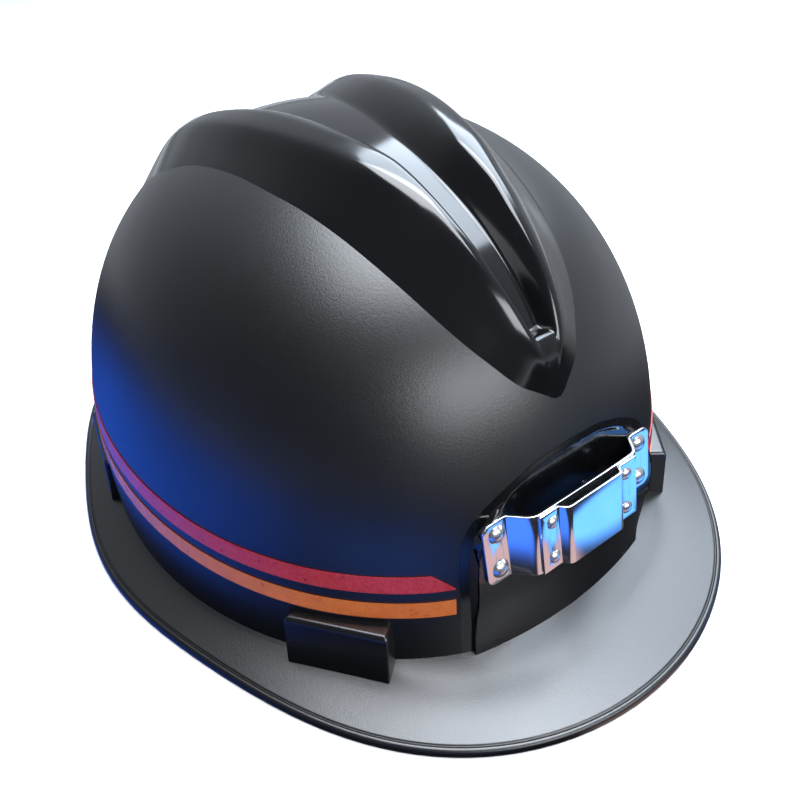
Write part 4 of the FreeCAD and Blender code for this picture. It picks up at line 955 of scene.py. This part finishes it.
def arc_pad(name, pos, u1, z0, z1, depth, back, mat, channels, pucker, replaces, thread, vent_shade=None, quilts=()):
    """Padded strip: pos(u, d) gives x, y for a station u and a depth d inwards."""
    nu, nz = 241, 61
    U = np.linspace(-u1, u1, nu)
    S = np.sin(np.linspace(-math.pi / 2, math.pi / 2, nz))
    zc, h = (z0 + z1) / 2, (z1 - z0) / 2

    def edge(f, p, q_):
        return np.maximum(1 - np.abs(f) ** p, 0) ** (1 / q_)

    def thick(u, s_):
        e = edge(s_, 5.0, 2.4) * edge(u / u1, 26.0, 2.4)
        t = depth * (0.30 + 0.70 * e) * (0.20 + 0.80 * np.minimum(1, edge(s_, 14, 2) * edge(u / u1, 60, 2) + 0.02))
        z = zc + h * s_
        for zs in channels:
            g = np.exp(-((z - zs) / 1.1) ** 2)
            t = t - g * depth * 0.42 * (1 + 0.22 * np.cos(u * pucker))
        for uq in quilts:
            g = np.exp(-((u - uq) * 75.0 / 1.3) ** 2) * edge(s_, 8, 2)
            t = t - g * depth * 0.36
        return np.maximum(t, 0.35)

    def rear(u, s_):
        r = 0.10 + 0.5 * (1 - edge(s_, 10.0, 2.0)) * 0.6
        if back is not None:
            r = r + back(u, zc + h * s_)
        return r

    rows, vent_shade_vals = [], []
    for u in U:
        loop = []
        for s_ in S:
            loop.append((s_, float(rear(u, s_))))
        for s_ in S[::-1]:
            loop.append((s_, float(np.maximum(thick(u, s_), rear(u, s_) + 0.3))))
        for s_, d_ in loop:
            x, y = pos(u, d_)
            rows.append((x, y, zc + h * s_))
            # marks the vents on the outer face for the painted shade
            vent_shade_vals.append(vent_shade(u, zc + h * s_) if vent_shade and d_ > 0.8 * depth * 0.5 else 0.0)
    n = 2 * nz
    F = [tuple(x) for x in grid_faces(nu, n, True)] + [tuple(range(n - 1, -1, -1)), tuple((nu - 1) * n + i for i in range(n))]
    o = make_obj(name, np.array(rows), F, MAT[mat], {"vent_shade": np.array(vent_shade_vals)}, sharp=70)
    bm = bmesh.new()
    bm.from_mesh(o.data)
    bmesh.ops.recalc_face_normals(bm, faces=bm.faces)
    bm.to_mesh(o.data)
    bm.free()
    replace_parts(o, replaces)
    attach(o, "helmet")
    # threads in the channels
    st = Pile()
    for zs in channels:
        x, y = pos(U, 0.0)
        L = np.hypot(np.diff(x), np.diff(y)).sum()
        cnt = int(L / 3.0)
        for k_ in range(cnt):
            ua, ub = [-u1 * 0.985 + 2 * u1 * 0.985 * (k_ + f) / cnt for f in (0.1, 0.86)]
            s_ = (zs - zc) / h
            pts_ = []
            for u in (ua, ub):
                d_ = float(np.maximum(thick(u, s_), rear(u, s_) + 0.3))
                x, y = pos(u, d_)
                pts_.append(np.array((float(x), float(y), zs)))
            um = (ua + ub) / 2
            xi_, yi_ = pos(um, depth + 5)
            xo_, yo_ = pos(um, 0.0)
            nn = np.array((float(xi_ - xo_), float(yi_ - yo_), 0.0))
            lathe_stitch(st, (pts_[0] + pts_[1]) / 2, pts_[1] - pts_[0], nn, np.linalg.norm(pts_[1] - pts_[0]), 0.28)
    so = make_obj(name + "_stitching", np.vstack(st.V), st.F, MAT[thread], sharp=60)
    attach(so, "helmet")
    return o, so


def brow(u, d):
    a, b = HB_R - 0.12 - d, HB_FRONT - 0.12 - d
    return a * np.sin(u), HB_C - b * np.cos(u)


_pf = AT_F(0.0)
_studs = []
for sx in (1, -1):
    best = min(np.linspace(0.2, 1.08, 400), key=lambda u: abs(np.cross(np.append(np.array(brow(u, 0)) - AT_F(0.0), 0), np.append(-N_F, 0))[2]))
    _studs.append(sx * best)


def stud_dimple(u, z):
    r = 0.0
    for us_ in _studs:
        d_ = math.hypot((u - us_) * 98.0, z - 20.7)
        r = max(r, 1.35 * float(smooth((6.0 - d_) / 1.6)))
    return r


def holes(u, z):
    # rows of small punched vents along the middle of the band; they are not cut, only marked for near-black spots in
    # the base colour, painted shade for the depth of the holes
    if not 13.0 < z < 31.0:
        return 0.0
    s_ = u * 98.0
    k_ = round((z - 22.0) / 3.0)
    off = 1.75 if k_ % 2 else 0.0
    dx = (s_ + off + 1.75) % 3.5 - 1.75
    return float(math.hypot(dx, z - 22.0 - 3.0 * k_) < 0.55)


sw, sws = arc_pad("sweatband_padded", brow, math.radians(62), 6.0, 38.0, 3.15, stud_dimple, "sweat", (9.6, 34.4), 190.0, "sweatband", "thread", holes)


def nape(u, d):
    return (75.2 - d) * np.sin(u), HB_C + (75.2 - d) * np.cos(u)


npd, nps = arc_pad("nape_pad_padded", nape, math.radians(23), 4.0, 32.0, 3.7, None, "foam", (7.4, 28.6), 230.0, "nape_pad", "thread_dark", None, (-0.2, 0.0, 0.2))


def crown_cushion():
    R = 26.9
    rr = np.r_[np.linspace(0.0, 0.9, 46), np.sin(np.linspace(math.asin(0.9), math.pi / 2, 14))[1:]]
    aa = np.radians(np.arange(0, 360, 2.0))
    fr, fa = np.meshgrid(rr, aa, indexing="ij")
    X, Y = fr * R * np.cos(fa), fr * R * np.sin(fa)
    e = np.maximum(1 - fr ** 3.4, 0) ** 0.5
    # four sewn channels, pulled in between the quilted fields
    seam = np.zeros_like(X)
    for q_ in (0, 45, 90, 135):
        c_, s_ = math.cos(math.radians(q_ + 22.5)), math.sin(math.radians(q_ + 22.5))
        seam = np.maximum(seam, np.exp(-((X * s_ - Y * c_) / 1.2) ** 2) * smooth((fr - 0.10) / 0.15))
    ringw = np.exp(-((fr * R - 8.0) / 1.1) ** 2)
    dip = np.maximum(seam, ringw) * e
    mid = 107.0
    top = mid + 4.1 * e - 1.0 * dip - (fr * R) ** 2 / 420.0 * 0.4
    bot = mid - 2.0 * e + 0.9 * dip
    pl = Pile()
    n = len(aa)
    Vt = np.stack([X, Y, top], -1).reshape(-1, 3)
    Vb_ = np.stack([X, Y, bot], -1).reshape(-1, 3)
    F = [tuple(x) for x in grid_faces(len(rr), n, True)]
    base = len(Vt)
    F += [tuple(int(i) + base for i in f[::-1]) for f in grid_faces(len(rr), n, True)]
    V_ = np.vstack([Vt, Vb_])
    o = make_obj("crown_pad_cushion", V_, F, MAT["foam"], sharp=80)
    bm = bmesh.new()
    bm.from_mesh(o.data)
    bmesh.ops.remove_doubles(bm, verts=bm.verts, dist=0.00002)
    bmesh.ops.recalc_face_normals(bm, faces=bm.faces)
    bm.to_mesh(o.data)
    bm.free()
    # piping round the rim
    rows = []
    for a in np.radians(np.arange(0, 360, 2.0)):
        for b in np.radians(np.arange(0, 360, 36)):
            r_ = R - 0.35 + 0.75 * math.cos(b)
            rows.append((r_ * math.cos(a), r_ * math.sin(a), mid - (0.4 * R * R / 420) * 0.5 + 0.75 * math.sin(b)))
    Fp = [(i * 10 + j, ((i + 1) % 180) * 10 + j, ((i + 1) % 180) * 10 + (j + 1) % 10, i * 10 + (j + 1) % 10) for i in range(180) for j in range(10)]
    pp = make_obj("crown_pad_piping", np.array(rows), Fp, MAT["thread_dark"])
    # stitches along the channels, under the pad
    st = Pile()
    for q_ in (0, 45, 90, 135):
        c_, s_ = math.cos(math.radians(q_ + 22.5)), math.sin(math.radians(q_ + 22.5))
        for k_ in np.arange(-23.0, 23.1, 2.8):
            if abs(k_) < 3:
                continue
            f_ = abs(k_) / R
            ee = max(1 - f_ ** 3.4, 0) ** 0.5
            sm = float(smooth((f_ - 0.10) / 0.15))
            z_ = mid - 2.0 * ee + 0.9 * max(sm, math.exp(-((abs(k_) - 8.0) / 1.1) ** 2)) * ee
            lathe_stitch(st, np.array((k_ * c_, k_ * s_, z_)), (c_, s_, 0), (0, 0, -1), 2.1, 0.24)
    so = make_obj("crown_pad_stitching", np.vstack(st.V), st.F, MAT["thread"], sharp=60)
    for q_ in (o, pp, so):
        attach(q_, "helmet")
    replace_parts(o, "crown_pad")


crown_cushion()


# -------------------------------------------------------- floor and lights
def stage_material():
    m, nt, b = new_mat("pale_floor")
    v = coords(nt, 1.0)
    f = noise(nt, v, 3.0, 3.0, 0.5)
    nt.links.new(ramp(nt, f, [(0.3, (0.90, 0.90, 0.90)), (0.7, (0.92, 0.92, 0.92))]), b.inputs["Base Color"])
    b.inputs["Roughness"].default_value = 0.9
    b.inputs["Specular IOR Level"].default_value = 0.1
    return m


bpy.ops.mesh.primitive_plane_add(size=12.0, location=(0, 0, -0.0002))
floor = bpy.context.object
floor.name = "floor"
floor.data.materials.append(stage_material())


def area(name, pos, aim, sx, sy, power, col, spread=math.pi):
    d = bpy.data.lights.new(name, "AREA")
    d.shape = "RECTANGLE"
    d.size, d.size_y = sx, sy
    d.energy = power
    d.color = col
    d.spread = spread
    o = bpy.data.objects.new(name, d)
    bpy.context.scene.collection.objects.link(o)
    o.location = pos
    o.rotation_mode = "QUATERNION"
    o.rotation_quaternion = (Vector(aim) - Vector(pos)).to_track_quat("-Z", "Y")
    o.visible_camera = False
    return o


# broad soft sky panel, from overhead down to the wearer's left
area("sky_panel", (0.48, 0.19, 0.84), (0.0, -0.02, 0.03), 0.78, 0.88, 18.0, (0.76, 0.87, 1.0))
# overhead panel
area("top_panel", (0.05, -0.06, 0.95), (0.0, -0.03, 0.05), 0.64, 0.64, 12.0, (0.90, 0.94, 1.0))
# low strip in front of the brow
area("brow_panel", (0.02, -0.80, 0.52), (0.0, 0.0, 0.10), 0.75, 0.32, 5.0, (0.92, 0.94, 1.0))


def card_material():
    # coloured ground that only the helmet's gloss picks up
    m = bpy.data.materials.new("reflector_card")
    m.use_nodes = True
    nt = m.node_tree
    for n in list(nt.nodes):
        nt.nodes.remove(n)
    out = nt.nodes.new("ShaderNodeOutputMaterial")
    em = nt.nodes.new("ShaderNodeEmission")
    tc = nt.nodes.new("ShaderNodeTexCoord")

    def blob(cx, cy, rx, ry, soft):
        mp = nt.nodes.new("ShaderNodeMapping")
        mp.inputs["Location"].default_value = (-cx / rx, -cy / ry, 0)
        mp.inputs["Scale"].default_value = (1 / rx, 1 / ry, 0)
        nt.links.new(tc.outputs["Object"], mp.inputs["Vector"])
        ln = nt.nodes.new("ShaderNodeVectorMath")
        ln.operation = "LENGTH"
        nt.links.new(mp.outputs["Vector"], ln.inputs[0])
        r = maprange(nt, ln.outputs["Value"], 1.0 + soft, 1.0 - soft, 0.0, 1.0)
        nt.nodes[-1].interpolation_type = "SMOOTHSTEP"
        return r

    sep = nt.nodes.new("ShaderNodeSeparateXYZ")
    nt.links.new(tc.outputs["Object"], sep.inputs[0])
    side = math_n(nt, "ADD", math_n(nt, "MULTIPLY", sep.outputs["X"], 0.8), math_n(nt, "MULTIPLY", sep.outputs["Y"], 0.6))
    away = maprange(nt, side, 0.06, 0.22, 0.0, 1.0)
    nt.nodes[-1].interpolation_type = "SMOOTHSTEP"
    col = mix_rgb(nt, away, (0.026, 0.027, 0.031), (0.46, 0.48, 0.52))
    col = mix_rgb(nt, blob(-0.31, 0.08, 0.20, 0.22, 0.42), col, (0.055, 0.33, 2.15))
    col = mix_rgb(nt, blob(-0.15, -0.19, 0.09, 0.07, 0.3), col, (0.09, 0.32, 1.5))
    col = mix_rgb(nt, blob(0.09, -0.20, 0.07, 0.06, 0.25), col, (0.27, 0.88, 2.4))
    col = mix_rgb(nt, blob(-0.005, -0.185, 0.030, 0.05, 0.2), col, (0.74, 0.50, 0.50))
    nt.links.new(col, em.inputs["Color"])
    nt.links.new(em.outputs[0], out.inputs["Surface"])
    return m


bpy.ops.mesh.primitive_plane_add(size=1.6, location=(0, 0, -0.0001))
card = bpy.context.object
card.name = "reflector_card"
card.data.materials.append(card_material())
card.visible_camera = False
card.visible_shadow = False
card.visible_diffuse = False
card.visible_transmission = False

world = bpy.data.worlds.new("studio")
bpy.context.scene.world = world
world.use_nodes = True
wb = world.node_tree.nodes["Background"]
wt = world.node_tree
wc = wt.nodes.new("ShaderNodeTexCoord")
ws = wt.nodes.new("ShaderNodeSeparateXYZ")
wt.links.new(wc.outputs["Generated"], ws.inputs[0])
wside = math_n(wt, "ADD", math_n(wt, "MULTIPLY", ws.outputs["X"], 0.8), math_n(wt, "MULTIPLY", ws.outputs["Y"], 0.6))
wl = maprange(wt, wside, -0.35, 0.55, 0.0, 1.0)
wt.links.new(mix_rgb(wt, wl, (0.10, 0.11, 0.125), (0.52, 0.56, 0.62)), wb.inputs["Color"])
wb.inputs["Strength"].default_value = 1.0

bpy.context.scene.view_settings.view_transform = "Standard"
bpy.context.scene.view_settings.look = "None"

# ------------------------------------------------------------------- camera
AZ, EL, ROLL = math.radians(-35.276), math.radians(39.472), math.radians(-2.801)
back = Vector((math.sin(AZ) * math.cos(EL), -math.cos(AZ) * math.cos(EL), math.sin(EL)))
right = Vector((math.cos(AZ), math.sin(AZ), 0.0))
up = back.cross(right)
Rv = right * math.cos(ROLL) + up * math.sin(ROLL)
Uv = -right * math.sin(ROLL) + up * math.cos(ROLL)
target = Vector((14.763, 1.608, 14.74)) * MM
cam_d = bpy.data.cameras.new("camera")
cam_d.sensor_width = 36.0
cam_d.lens = 806.335 * 36.0 / 800.0
cam_d.clip_start, cam_d.clip_end = 0.01, 50
cam = bpy.data.objects.new("camera", cam_d)
bpy.context.scene.collection.objects.link(cam)
pos = target + back * 351.664 * MM
cam.matrix_world = Matrix(((Rv.x, Uv.x, back.x, pos.x), (Rv.y, Uv.y, back.y, pos.y), (Rv.z, Uv.z, back.z, pos.z), (0, 0, 0, 1)))
bpy.context.scene.camera = cam
